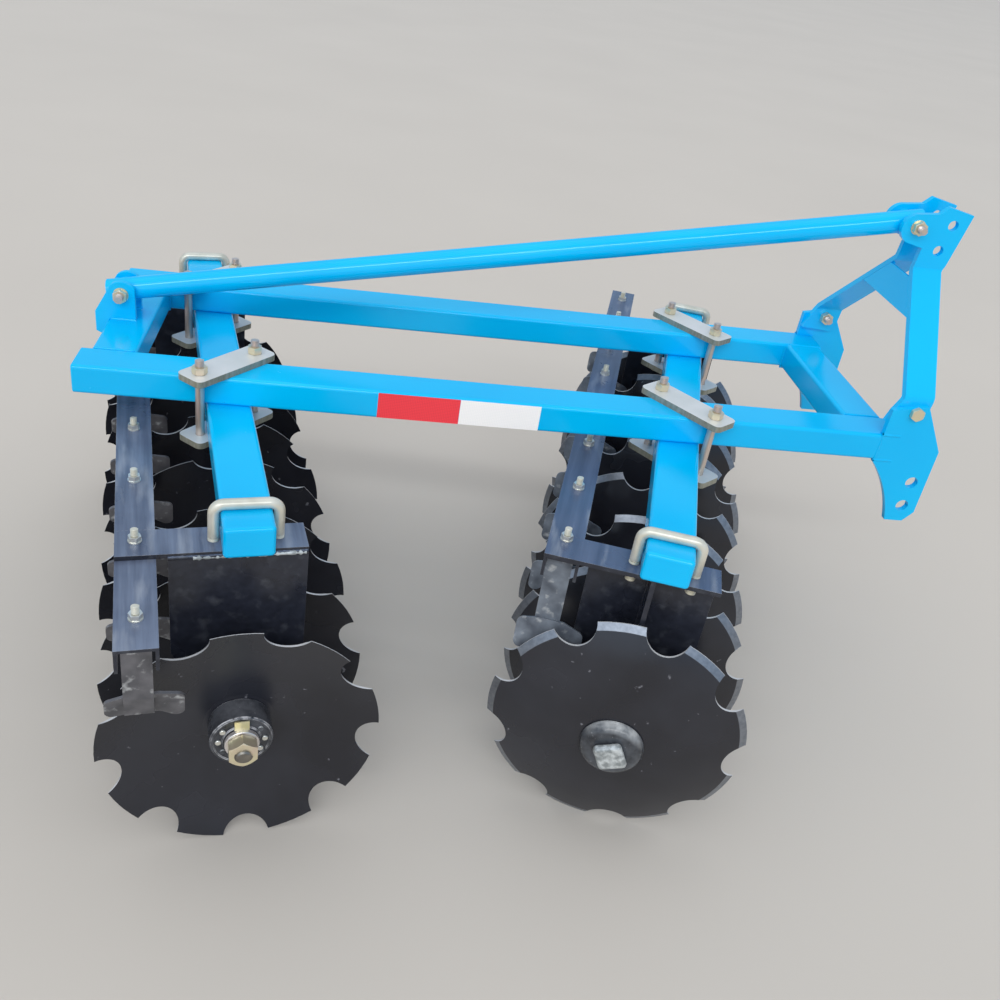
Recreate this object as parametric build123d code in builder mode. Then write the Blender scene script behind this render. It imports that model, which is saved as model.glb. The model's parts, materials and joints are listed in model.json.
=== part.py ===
from build123d import *

import os
from collections import namedtuple
from math import atan2, cos, degrees, radians, sin, sqrt, tan

# Offset disc harrow for a three-point hitch. Millimetres. +X is forward, towards the tractor,
# +Z is up, +Y is the far side of a viewer who has the hitch on the right.
# The floor is at z = 0 and the origin lies below the middle of the whole machine.

# Place of the main frame over the origin
frame_x = 90.5
frame_y = 55.4

# Discs
disc_diameter = 460.0
dish_radius = 570.0
disc_thickness = 4.0
disc_flat = 120.0
disc_bevel = 12.0
edge_thickness = 1.5
notch_count = 9
notch_radius = 40.0
notch_outset = 6.0
discs_per_gang = 8
disc_spacing = 175.0
axle_height = disc_diameter / 2
hole_play = 0.5

# Gang shaft, spools and end fittings
shaft_side = 30.0
shaft_end = 38.0
spool_flange = 105.0
spool_flange_length = 12.0
spool_cone_length = 14.0
spool_parting = 0.4
end_spool_face = 100.0
end_spool_groove = (64.0, 92.0)
end_spool_groove_depth = 3.0
journal_diameter = 60.0
washer_diameter = 57.0
washer_thickness = 9.0
nut_across_flats = 46.0
nut_height = 24.0
dome_diameter = 113.0
dome_height = 21.0
dome_rim = 5.0
head_across_flats = 50.0
head_height = 16.0

# Bearings and hangers
bearing_play = 0.5
housing_diameter = 110.0
housing_length = 60.0
hanger_width = 214.0
hanger_thickness = 8.0
hanger_taper_height = 190.0
hanger_foot = 90.0
rib_depth = 50.0
first_hanger = 81.0

# Gang frame: top plates, scraper bar and scraper channel
top_plate_height = 560.0
plate_thickness = 8.0
top_plate_width = 67.0
top_plate_front = 107.0
bar_width = 60.0
bar_setback = 154.0
channel_depth = 40.0
channel_wall = 5.0
channel_overhang = 121.0
channel_inset = 5.0

# Scrapers
scraper_lead = 55.0
scraper_bolt = 12.0
strap_width = 44.0
strap_thickness = 8.0
strap_tail = 27.0
strap_shift = -2.5
strap_leg_lead = 36.0
strap_bend = 8.0
rear_strap_kink_height = 383.0
front_strap_kink_height = 404.0
strap_foot = 40.0
blade_width = 118.0
blade_shift = 5.5
blade_tall_end = 74.0
blade_short_end = 42.0
blade_waist = 48.0
blade_thickness = 5.0
blade_tilt = 14.0
blade_droop = 14.0
blade_corner = 12.0

# Beams of the main frame and of the gangs
beam_width = 80.0
beam_height = 55.0
beam_corner = 7.0
beam_centre = 207.0
beam_rear = -855.0
beam_front = 695.0
rear_tube_inset = 18.0
front_tube_inset = 5.0
gang_beam_offset = 13.0
gang_beam_inset = 58.0
gang_beam_overhang = 15.0
rear_gang_angle = 11.9
front_gang_angle = -16.0
rear_gang_roll = 2.5
front_gang_roll = -11.9
rear_gang_x = -500.0
rear_gang_y = -688.0
front_gang_x = 146.0
front_gang_y = -611.0

# Clamps and U-bolts
clamp_length = 190.0
clamp_width = 60.0
clamp_thickness = 12.0
clamp_corner = 12.0
clamp_bolt = 16.0
clamp_bolt_gap = 4.0
bolt_head_height = 10.0
bolt_nut_height = 14.0
bolt_end = 12.0
nut_ratio = 1.5
u_bolt_rod = 18.0
u_bolt_side_gap = 1.5
u_bolt_end = 26.0
bolt_hole_play = 0.5

# Hitch plates
hitch_thickness = 12.0
hitch_rear = -35.0
hitch_top_rear = 54.0
hitch_top_front = Vector(34, 67)
hitch_nose = Vector(90, -27)
hitch_toe = Vector(92, -168)
hitch_toe_front = Vector(74, -190)
hitch_toe_rear = Vector(36, -190)
hitch_cut_start = -60.0
hitch_cut_middle = Vector(3, -110)
lower_hole = 25.0
lower_hole_x = 61.0
lower_hole_drops = (100.0, 154.0)

# Mast
mast_bolt_x = 12.0
mast_bolt_rise = 52.0
mast_bolt = 16.0
arm_width = 60.0
arm_thickness = 12.0
arm_bend = 14.0
arm_lean = 33.0
lower_bend_rise = 23.0
head_bolt_back = 13.0
head_bolt_rise = 295.0
upper_bend_drop = 82.0
head_gap = 57.0
lug_radius = 29.0
lug_middle_offset = Vector(-2, -4)
head_notch = Vector(35, 29)
head_tip_rear = Vector(51, 44)
head_tip_front = Vector(103, 33)
head_chin = Vector(85, -69)
head_throat = Vector(23, -39)
tab_corners = (Vector(-40, -6), Vector(-47, -28), Vector(19, -32), Vector(31, -10))
upper_hole = 20.0
upper_hole_spots = (Vector(69, 10), Vector(58, -41))
gusset_thickness = 8.0
gusset_drop = 15.0
gusset_height = 62.0

# Brace tube, its ears and its bolts
brace_diameter = 43.0
brace_wall = 4.0
brace_rear_end = 30.0
brace_front_end = 24.0
brace_bolt = 16.0
bush_diameter = 34.0
ear_gap = 46.0
ear_thickness = 10.0
ear_bolt_rise = 50.0
ear_bolt_x = 25.0
ear_front = 26.0
ear_hip = 12.0
ear_top = 26.0
ear_shoulder = Vector(-19, 18)
ear_hook = 25.0
ear_reach_down = 40.0

# Worked out from the sizes above
gang_length = (discs_per_gang - 1) * disc_spacing
u_bolt_bend = beam_corner + u_bolt_rod / 2
rim_centre = sqrt(dish_radius**2 - (disc_diameter / 2) ** 2)
dish_depth = sqrt(dish_radius**2 - (disc_flat / 2) ** 2) - rim_centre
disc_back = dish_depth + disc_thickness
half_turn = 180 / notch_count
shaft_clear = shaft_side * sqrt(2) + 2 * hole_play
hangers = (first_hanger, gang_length - top_plate_width)
top_plate_bottom = top_plate_height - plate_thickness
main_bottom = top_plate_height + beam_height
main_top = main_bottom + beam_height
beam_inner = beam_centre - beam_width / 2
beam_outer = beam_centre + beam_width / 2
gang_beam_length = gang_length + gang_beam_overhang - gang_beam_inset
mast_pin = Vector(beam_front + mast_bolt_x, main_top + mast_bolt_rise)
head_pin = mast_pin + Vector(-head_bolt_back, head_bolt_rise)
ear_pin = Vector(beam_rear + rear_tube_inset + ear_bolt_x, main_top + ear_bolt_rise)
lower_bend = mast_pin.Y + lower_bend_rise
upper_bend = head_pin.Y - upper_bend_drop
tab_middle = beam_outer - hitch_thickness - arm_thickness / 2
head_middle = (head_gap + arm_thickness) / 2

# A gang's own place: x and y of the rim centre of the disc at its hollow end, counted from the
# middle of the main frame, its turn about Z, its roll about the axle, the height of its straps'
# kinks, and inward, the way to the next disc along the axle: +1 where that is away from the viewer,
# -1 where it is towards the viewer.
Gang = namedtuple("Gang", "name x y turn roll kink inward")
front_turn = radians(front_gang_angle)
gangs = (
    Gang(
        "rear",
        rear_gang_x,
        rear_gang_y,
        rear_gang_angle,
        rear_gang_roll,
        rear_strap_kink_height,
        1,
    ),
    Gang(
        "front",
        front_gang_x - gang_length * sin(front_turn),
        front_gang_y + gang_length * cos(front_turn),
        front_gang_angle,
        front_gang_roll,
        front_strap_kink_height,
        -1,
    ),
)


def level(height):
    """Horizontal plane over the middle of the main frame."""
    return Plane(origin=(frame_x, frame_y, height))


def side_plane(y):
    """Upright plane along the frame: x forward, second axis up, facing the viewer."""
    return Plane(origin=(frame_x, frame_y + y, 0), x_dir=(1, 0, 0), z_dir=(0, -1, 0))


def across_plane(x):
    """Upright plane across the frame: first axis to the far side, second axis up, facing forward."""
    return Plane(origin=(frame_x + x, frame_y, 0), x_dir=(0, 1, 0), z_dir=(1, 0, 0))


def gang_axes(gang):
    """Directions across a gang (forward) and along its axle (inward from its hollow end)."""
    turn = radians(gang.turn)
    across = Vector(cos(turn), sin(turn), 0)
    along = Vector(-sin(turn), cos(turn), 0) * gang.inward
    return across, along


def gang_point(gang, station, offset=0, height=0):
    """Point at a station along the axle, an offset forward of it, and a height."""
    across, along = gang_axes(gang)
    return Vector(frame_x + gang.x, frame_y + gang.y, height) + along * station + across * offset


def gang_level(gang, height, station=0, offset=0):
    """Horizontal plane with its first axis across the gang."""
    return Plane(gang_point(gang, station, offset, height), x_dir=gang_axes(gang)[0], z_dir=(0, 0, 1))


def gang_section(gang, station):
    """Upright plane across the axle: first axis forward, second axis up."""
    across, along = gang_axes(gang)
    return Plane(gang_point(gang, station), x_dir=across, z_dir=along * -gang.inward)


def gang_side(gang, offset=0):
    """Upright plane along the axle: first axis inward along the gang, second axis up."""
    across, along = gang_axes(gang)
    return Plane(gang_point(gang, 0, offset), x_dir=along, z_dir=across * gang.inward)


def axle(gang):
    return Axis(gang_point(gang, 0, 0, axle_height), gang_axes(gang)[1])


def beam_crossing(gang, y):
    """Where the middle of a gang's beam passes under the main beam at y, from the frame's middle."""
    turn = radians(gang.turn)
    start = gang_point(gang, 0, gang_beam_offset) - Vector(frame_x, frame_y, 0)
    return Vector(start.X - (y - start.Y) * tan(turn), y)


def add_rod(plane, diameter, length, mode=Mode.ADD):
    """Round rod or hole that rises from a plane."""
    with BuildSketch(plane) as outline:
        Circle(diameter / 2)
    extrude(outline.sketch, amount=length, mode=mode)


def add_hex(plane, across_flats, length):
    """Hexagon that rises from a plane."""
    with BuildSketch(plane) as outline:
        RegularPolygon(across_flats / 2, 6, major_radius=False)
    extrude(outline.sketch, amount=length)


def add_bolt(plane, diameter, grip):
    """Bolt through a grip that starts on the plane: head below it, nut and thread end above it."""
    add_rod(plane, diameter, grip + bolt_nut_height * diameter / clamp_bolt + bolt_end)
    add_hex(plane.offset(grip), diameter * nut_ratio, bolt_nut_height * diameter / clamp_bolt)
    head = bolt_head_height * diameter / clamp_bolt
    add_hex(plane.offset(-head), diameter * nut_ratio, head)


def finish(part, name):
    part.label = name
    export_step(part, f"parts/{name}.step")


os.makedirs("parts", exist_ok=True)

# Main beams: box section, with a step in the outer wall of the front end that takes the hitch plate
for side_name, side in (("near", -1), ("far", 1)):
    with BuildPart() as main_beam:
        with BuildSketch(across_plane(beam_rear)):
            with Locations((side * beam_centre, (main_bottom + main_top) / 2)):
                RectangleRounded(beam_width, beam_height, beam_corner)
        extrude(amount=beam_front - beam_rear)
        with BuildSketch(level(main_bottom)):
            with Locations(
                (beam_front + hitch_rear / 2, side * (beam_outer - hitch_thickness / 2))
            ):
                Rectangle(-hitch_rear, hitch_thickness)
        extrude(amount=beam_height, mode=Mode.SUBTRACT)
    finish(main_beam.part, f"main_beam_{side_name}")

# Cross tubes between the main beams, flush with their tops
for tube_name, tube_x in (
    ("rear", beam_rear + rear_tube_inset + beam_width / 2),
    ("front", beam_front - front_tube_inset - beam_width / 2),
):
    with BuildPart() as cross_tube:
        with BuildSketch(side_plane(beam_inner)):
            with Locations((tube_x, (main_bottom + main_top) / 2)):
                RectangleRounded(beam_width, beam_height, beam_corner)
        extrude(amount=2 * beam_inner)
    finish(cross_tube.part, f"cross_tube_{tube_name}")

# Hitch plates: let into the beams' outer walls, with a hollow rear edge below the beam
hitch_corner = Vector(beam_front, main_top)
for side_name, side in (("near", -1), ("far", 1)):
    with BuildPart() as hitch_plate:
        with BuildSketch(side_plane(side * (beam_outer - hitch_thickness / 2))):
            with BuildLine():
                rear_top = hitch_corner + Vector(hitch_rear, hitch_top_rear)
                cut_start = hitch_corner + Vector(hitch_rear, hitch_cut_start)
                Polyline(
                    cut_start,
                    rear_top,
                    hitch_corner + hitch_top_front,
                    hitch_corner + hitch_nose,
                    hitch_corner + hitch_toe,
                    hitch_corner + hitch_toe_front,
                    hitch_corner + hitch_toe_rear,
                )
                ThreePointArc(
                    hitch_corner + hitch_toe_rear, hitch_corner + hitch_cut_middle, cut_start
                )
            make_face()
            with Locations(mast_pin):
                Circle((mast_bolt + bolt_hole_play) / 2, mode=Mode.SUBTRACT)
            for drop in lower_hole_drops:
                with Locations(hitch_corner + Vector(lower_hole_x, -drop)):
                    Circle(lower_hole / 2, mode=Mode.SUBTRACT)
        extrude(amount=hitch_thickness / 2, both=True)
    finish(hitch_plate.part, f"hitch_plate_{side_name}")

# Mast arms: one flat bar each, bent twice as seen from the front, then cut to its side outline,
# which leans forward and widens into the head plate
lower_rear = Vector(mast_pin.X - arm_width / 2 + 4, lower_bend)
upper_rear = Vector(lower_rear.X + arm_lean, upper_bend)
for side_name, side in (("near", -1), ("far", 1)):
    with BuildPart() as mast_arm:
        with BuildSketch(across_plane(mast_pin.X)):
            with BuildLine():
                FilletPolyline(
                    (side * tab_middle, mast_pin.Y - 2 * mast_bolt_rise),
                    (side * tab_middle, lower_bend),
                    (side * head_middle, upper_bend),
                    (side * head_middle, head_pin.Y + 2 * lug_radius),
                    radius=arm_bend,
                )
            trace(line_width=arm_thickness)
        extrude(amount=3 * arm_width, both=True)
        with BuildSketch(side_plane(0)):
            with BuildLine():
                lug_middle = head_pin + lug_middle_offset
                lug_top = lug_middle + Vector(0, lug_radius)
                lug_foot = lug_middle + Vector(0, lug_radius).rotate(Axis.Z, 160)
                Polyline(
                    lug_foot,
                    head_pin + head_throat,
                    upper_rear,
                    lower_rear,
                    *(mast_pin + corner for corner in tab_corners),
                    lower_rear + Vector(arm_width, 0),
                    upper_rear + Vector(arm_width, 0),
                    head_pin + head_chin,
                    head_pin + head_tip_front,
                    head_pin + head_tip_rear,
                    head_pin + head_notch,
                    lug_top,
                )
                ThreePointArc(lug_top, lug_middle - Vector(lug_radius, 0), lug_foot)
            make_face()
            with Locations(mast_pin):
                Circle((mast_bolt + bolt_hole_play) / 2, mode=Mode.SUBTRACT)
            with Locations(head_pin):
                Circle((brace_bolt + bolt_hole_play) / 2, mode=Mode.SUBTRACT)
            for spot in upper_hole_spots:
                with Locations(head_pin + spot):
                    Circle(upper_hole / 2, mode=Mode.SUBTRACT)
        extrude(amount=beam_outer, both=True, mode=Mode.INTERSECT)
    finish(mast_arm.part, f"mast_arm_{side_name}")

# Gusset between the arms' slanted stretches, in the plane of their rear edges
arm_slope = (tab_middle - head_middle) / (upper_bend - lower_bend)
inner_step = arm_thickness / 2 * sqrt(1 + arm_slope**2)
lean = atan2(arm_lean, upper_bend - lower_bend)
with BuildPart() as mast_gusset:
    gusset_top = upper_bend - gusset_drop
    gusset_top_x = upper_rear.X - gusset_drop * tan(lean)
    gusset_plane = Plane(
        origin=(frame_x + gusset_top_x, frame_y, gusset_top),
        x_dir=(0, 1, 0),
        z_dir=(cos(lean), 0, -sin(lean)),
    )
    half_top = head_middle + gusset_drop * arm_slope - inner_step
    half_bottom = half_top + gusset_height * arm_slope
    with BuildSketch(gusset_plane):
        with BuildLine():
            Polyline(
                (-half_top, 0),
                (half_top, 0),
                (half_bottom, -gusset_height / cos(lean)),
                (-half_bottom, -gusset_height / cos(lean)),
                close=True,
            )
        make_face()
    extrude(amount=gusset_thickness)
finish(mast_gusset.part, "mast_gusset")

# Brace: round tube from the rear ears to the mast head, with a bush across its front end
brace_run = head_pin - ear_pin
brace_slope = atan2(brace_run.Y, brace_run.X)
brace_way = Vector(cos(brace_slope), sin(brace_slope))
brace_start = ear_pin - brace_way * brace_rear_end
with BuildPart() as brace_tube:
    brace_plane = Plane(
        origin=(frame_x + brace_start.X, frame_y, brace_start.Y),
        x_dir=(0, 1, 0),
        z_dir=(brace_way.X, 0, brace_way.Y),
    )
    brace_length = brace_run.length + brace_rear_end + brace_front_end
    with BuildSketch(brace_plane):
        Circle(brace_diameter / 2)
        Circle(brace_diameter / 2 - brace_wall, mode=Mode.SUBTRACT)
    extrude(amount=brace_length)
    with BuildSketch(side_plane(0)):
        with Locations(head_pin):
            Circle(bush_diameter / 2)
    extrude(amount=head_gap / 2, both=True)
    with BuildSketch(side_plane(0)):
        with Locations(ear_pin):
            Circle(bush_diameter / 2)
    extrude(amount=ear_gap / 2, both=True)
    with BuildSketch(side_plane(0)):
        with Locations(head_pin, ear_pin):
            Circle((brace_bolt + bolt_hole_play) / 2)
    extrude(amount=beam_outer, both=True, mode=Mode.SUBTRACT)
finish(brace_tube.part, "brace_tube")

# Rear ears: stand on the rear cross tube and hook over its rear face
tube_corner = Vector(beam_rear + rear_tube_inset, main_top)
for side_name, side in (("near", -1), ("far", 1)):
    with BuildPart() as brace_ear:
        with BuildSketch(side_plane(side * (ear_gap + ear_thickness) / 2)):
            with BuildLine():
                ear_base = Vector(ear_pin.X + ear_front, tube_corner.Y)
                ear_rise = Vector(ear_pin.X + ear_front, ear_pin.Y + ear_hip)
                ear_back = ear_pin + ear_shoulder
                Line(ear_base, ear_rise)
                ThreePointArc(ear_rise, ear_pin + Vector(0, ear_top), ear_back)
                Polyline(
                    ear_back,
                    tube_corner + Vector(-ear_hook, ear_hook / 2),
                    tube_corner + Vector(-ear_hook, -ear_reach_down + ear_hook / 2),
                    tube_corner + Vector(0, -ear_reach_down),
                    tube_corner - Vector(0, beam_corner),
                )
                Line(tube_corner - Vector(0, beam_corner), tube_corner + Vector(beam_corner, 0))
                Line(tube_corner + Vector(beam_corner, 0), ear_base)
            make_face()
            with Locations(tube_corner + Vector(beam_corner, -beam_corner)):
                Circle(beam_corner, mode=Mode.SUBTRACT)
            with Locations(ear_pin):
                Circle((brace_bolt + bolt_hole_play) / 2, mode=Mode.SUBTRACT)
        extrude(amount=ear_thickness / 2, both=True)
    finish(brace_ear.part, f"brace_ear_{side_name}")

# Bolts of the brace, through the head plates and the ears, heads on the far side
with BuildPart() as brace_bolts:
    for pin, half_grip in (
        (head_pin, head_gap / 2 + arm_thickness),
        (ear_pin, ear_gap / 2 + ear_thickness),
    ):
        bolt_plane = Plane(
            origin=(frame_x + pin.X, frame_y + half_grip, pin.Y), x_dir=(1, 0, 0), z_dir=(0, -1, 0)
        )
        add_bolt(bolt_plane, brace_bolt, 2 * half_grip)
finish(brace_bolts.part, "brace_bolts")

# Bolts of the mast's feet, heads outside
with BuildPart() as mast_bolts:
    for side in (-1, 1):
        bolt_plane = Plane(
            origin=(frame_x + mast_pin.X, frame_y + side * beam_outer, mast_pin.Y),
            x_dir=(1, 0, 0),
            z_dir=(0, -side, 0),
        )
        add_bolt(bolt_plane, mast_bolt, hitch_thickness + arm_thickness)
finish(mast_bolts.part, "mast_bolts")

# Everything that belongs to one gang
for gang in gangs:
    bearing_stations = [start + hanger_thickness + housing_length / 2 for start in hangers]
    u_bolt_stations = [start + top_plate_width / 2 for start in hangers]
    u_bolt_half = beam_width / 2 + u_bolt_side_gap + u_bolt_rod / 2
    u_bolt_legs = (gang_beam_offset - u_bolt_half, gang_beam_offset + u_bolt_half)
    scraper_stations = [disc * disc_spacing - scraper_lead for disc in range(discs_per_gang)]

    # Beam under the main beams
    with BuildPart() as gang_beam:
        with BuildSketch(gang_section(gang, gang_beam_inset)):
            with Locations((gang_beam_offset, top_plate_height + beam_height / 2)):
                RectangleRounded(beam_width, beam_height, beam_corner)
        extrude(amount=-gang.inward * gang_beam_length)
    finish(gang_beam.part, f"{gang.name}_gang_beam")

    # Clamps at the two crossings: a plate above and one below, turned so that their bolts pass
    # the corner between the two beams
    with BuildPart() as clamp_plates:
        bolt_spots = []
        for y in (-beam_centre, beam_centre):
            turn = radians(gang.turn)
            reach = beam_width / 2 + clamp_bolt / 2 + clamp_bolt_gap
            reach_x = (reach - reach * abs(sin(turn))) / cos(turn)
            reach_y = reach if gang.turn > 0 else -reach
            crossing = beam_crossing(gang, y)
            plate_turn = degrees(atan2(reach_y, reach_x))
            bolt_spots += [crossing + Vector(reach_x, reach_y), crossing - Vector(reach_x, reach_y)]
            for height in (main_top, top_plate_height - clamp_thickness):
                with BuildSketch(level(height)):
                    with Locations(Location(crossing, plate_turn)):
                        RectangleRounded(clamp_length, clamp_width, clamp_corner)
                    with Locations(*bolt_spots[-2:]):
                        Circle((clamp_bolt + bolt_hole_play) / 2, mode=Mode.SUBTRACT)
                extrude(amount=clamp_thickness)
    finish(clamp_plates.part, f"{gang.name}_clamp_plates")

    with BuildPart() as clamp_bolts:
        for spot in bolt_spots:
            bolt_plane = level(top_plate_height - clamp_thickness).shift_origin(
                (frame_x + spot.X, frame_y + spot.Y, top_plate_height - clamp_thickness)
            )
            add_bolt(bolt_plane, clamp_bolt, 2 * beam_height + 2 * clamp_thickness)
    finish(clamp_bolts.part, f"{gang.name}_clamp_bolts")

    # U-bolts over the gang beam's ends, with their nuts under the top plates
    with BuildPart() as u_bolts:
        for station in u_bolt_stations:
            top = top_plate_height + beam_height + u_bolt_rod / 2
            foot = top_plate_bottom - u_bolt_end
            with BuildLine(gang_section(gang, station)) as rod_line:
                FilletPolyline(
                    (u_bolt_legs[0], foot),
                    (u_bolt_legs[0], top),
                    (u_bolt_legs[1], top),
                    (u_bolt_legs[1], foot),
                    radius=u_bolt_bend,
                )
            with BuildSketch(gang_level(gang, foot, station, u_bolt_legs[0])) as rod_section:
                Circle(u_bolt_rod / 2)
            sweep(rod_section.sketch, path=rod_line.line)
            for leg in u_bolt_legs:
                nut_plane = gang_level(gang, top_plate_bottom - bolt_nut_height, station, leg)
                add_hex(nut_plane, u_bolt_rod * nut_ratio, bolt_nut_height)
    finish(u_bolts.part, f"{gang.name}_u_bolts")

    # Hangers: top plate under the beam, upright plate and rib down to the bearing
    with BuildPart() as gang_hangers:
        for start, bearing in zip(hangers, bearing_stations):
            top_plate_rear = -bar_setback - bar_width / 2
            with BuildSketch(gang_level(gang, top_plate_bottom)):
                with Locations(
                    (
                        (top_plate_rear + top_plate_front) / 2,
                        gang.inward * (start + top_plate_width / 2),
                    )
                ):
                    Rectangle(top_plate_front - top_plate_rear, top_plate_width)
                for leg in u_bolt_legs:
                    with Locations((leg, gang.inward * (start + top_plate_width / 2))):
                        Circle((u_bolt_rod + bolt_hole_play) / 2, mode=Mode.SUBTRACT)
                for station in scraper_stations:
                    with Locations((-bar_setback, gang.inward * station)):
                        Circle((scraper_bolt + bolt_hole_play) / 2, mode=Mode.SUBTRACT)
            extrude(amount=plate_thickness)
            with BuildSketch(gang_section(gang, start)):
                with BuildLine():
                    taper = top_plate_bottom - hanger_taper_height
                    Polyline(
                        (-hanger_width / 2, top_plate_bottom),
                        (hanger_width / 2, top_plate_bottom),
                        (hanger_width / 2, taper),
                        (hanger_foot / 2, axle_height),
                        (-hanger_foot / 2, axle_height),
                        (-hanger_width / 2, taper),
                        close=True,
                    )
                make_face()
                with Locations((0, axle_height)):
                    Circle(housing_diameter / 2, mode=Mode.SUBTRACT)
            extrude(amount=-gang.inward * hanger_thickness)
            with BuildSketch(gang_side(gang)):
                rib_foot = axle_height + housing_diameter / 2
                with Locations(
                    (start + hanger_thickness + rib_depth / 2, (top_plate_bottom + rib_foot) / 2)
                ):
                    Rectangle(rib_depth, top_plate_bottom - rib_foot)
            extrude(amount=hanger_thickness / 2, both=True)
    finish(gang_hangers.part, f"{gang.name}_hangers")

    # Bearing housings: the upright plate and the rib stand on them
    with BuildPart() as gang_bearings:
        for start in hangers:
            with BuildSketch(gang_section(gang, start)):
                with Locations((0, axle_height)):
                    Circle(housing_diameter / 2)
                    Circle(journal_diameter / 2 + bearing_play, mode=Mode.SUBTRACT)
            extrude(amount=-gang.inward * (hanger_thickness + housing_length))
    finish(gang_bearings.part, f"{gang.name}_bearings")

    # Flat bar between the top plates
    with BuildPart() as scraper_bar:
        bar_start = hangers[0] + top_plate_width
        with BuildSketch(gang_level(gang, top_plate_bottom)):
            with Locations((-bar_setback, gang.inward * (bar_start + hangers[1]) / 2)):
                Rectangle(bar_width, hangers[1] - bar_start)
            for station in scraper_stations:
                with Locations((-bar_setback, gang.inward * station)):
                    Circle((scraper_bolt + bolt_hole_play) / 2, mode=Mode.SUBTRACT)
        extrude(amount=plate_thickness)
    finish(scraper_bar.part, f"{gang.name}_scraper_bar")

    # Channel below the bar, open downward, longer than the gang at the hollow end
    with BuildPart() as scraper_channel:
        with BuildSketch(gang_section(gang, -channel_overhang)):
            with Locations((-bar_setback, top_plate_bottom - channel_depth / 2)):
                Rectangle(bar_width, channel_depth)
            with Locations((-bar_setback, top_plate_bottom - channel_depth / 2 - channel_wall)):
                Rectangle(bar_width - 2 * channel_wall, channel_depth, mode=Mode.SUBTRACT)
        extrude(amount=-gang.inward * (channel_overhang + gang_length - channel_inset))
        with BuildSketch(gang_level(gang, top_plate_bottom - channel_wall)):
            for station in scraper_stations:
                with Locations((-bar_setback, gang.inward * station)):
                    Circle((scraper_bolt + bolt_hole_play) / 2)
        extrude(amount=channel_wall, mode=Mode.SUBTRACT)
    finish(scraper_channel.part, f"{gang.name}_scraper_channel")

    # Scrapers: a bent strap under the channel's web, with a waisted blade across its lower end.
    # The blade's tall end is forward on the rear gang and rearward on the front gang.
    strap_top = top_plate_bottom - channel_wall
    strap_line = -bar_setback + strap_shift
    with BuildPart() as scrapers:
        for disc in range(discs_per_gang):
            rim = disc * disc_spacing
            tilt = radians(blade_tilt)
            leg = rim - strap_leg_lead
            with BuildSketch(gang_side(gang, strap_line)):
                with BuildLine():
                    FilletPolyline(
                        (rim - scraper_lead - strap_tail, strap_top - strap_thickness / 2),
                        (leg, strap_top - strap_thickness / 2),
                        (leg, gang.kink),
                        (leg + strap_foot * sin(tilt), gang.kink - strap_foot * cos(tilt)),
                        radius=strap_bend,
                    )
                trace(line_width=strap_thickness)
            extrude(amount=strap_width / 2, both=True)
            hole_plane = gang_level(gang, strap_top, rim - scraper_lead, -bar_setback)
            hole = scraper_bolt + bolt_hole_play
            add_rod(hole_plane, hole, -strap_thickness, mode=Mode.SUBTRACT)
            across, along = gang_axes(gang)
            face = along * cos(tilt) + Vector(0, 0, sin(tilt))
            blade_plane = Plane(
                gang_point(gang, leg, blade_shift - bar_setback, gang.kink)
                + face * (strap_thickness / 2),
                x_dir=across * -gang.inward,
                z_dir=face,
            )
            with BuildSketch(blade_plane):
                with BuildLine():
                    half_width = blade_width / 2
                    strap_side = strap_width / 2
                    FilletPolyline(
                        (-half_width, -blade_droop / 2),
                        (-strap_side, 0),
                        (strap_side, 0),
                        (half_width, -blade_droop),
                        (half_width, -blade_droop - blade_short_end),
                        (strap_side, -blade_waist),
                        (-strap_side, -blade_waist),
                        (-half_width, -blade_tall_end),
                        radius=blade_corner,
                        close=True,
                    )
                make_face()
            extrude(amount=blade_thickness)
    finish(scrapers.part, f"{gang.name}_scrapers")

    # Scraper bolts: heads under the straps, nuts on the bar, or on the channel past its end
    with BuildPart() as scraper_bolts:
        for station in scraper_stations:
            seat = top_plate_height if station > hangers[0] else top_plate_bottom
            strap_underside = strap_top - strap_thickness
            bolt_plane = gang_level(gang, strap_underside, station, -bar_setback)
            add_bolt(bolt_plane, scraper_bolt, seat - strap_underside)
    finish(scraper_bolts.part, f"{gang.name}_scraper_bolts")

    # Shaft: square bar with a forged head behind the domed washer and a round threaded end
    dome_start = gang_length + disc_back
    head_start = dome_start + dome_height
    with BuildPart() as gang_shaft:
        with BuildSketch(gang_section(gang, 0)):
            with Locations((0, axle_height)):
                Rectangle(shaft_side, shaft_side, rotation=gang.roll)
        extrude(amount=-gang.inward * head_start)
        with BuildSketch(gang_section(gang, -shaft_end)):
            with Locations((0, axle_height)):
                Circle(shaft_side / 2)
        extrude(amount=-gang.inward * shaft_end)
        with BuildSketch(gang_section(gang, head_start)):
            with Locations((0, axle_height)):
                Rectangle(head_across_flats, head_across_flats, rotation=gang.roll)
        extrude(amount=-gang.inward * head_height)
    finish(gang_shaft.part, f"{gang.name}_shaft")

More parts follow.
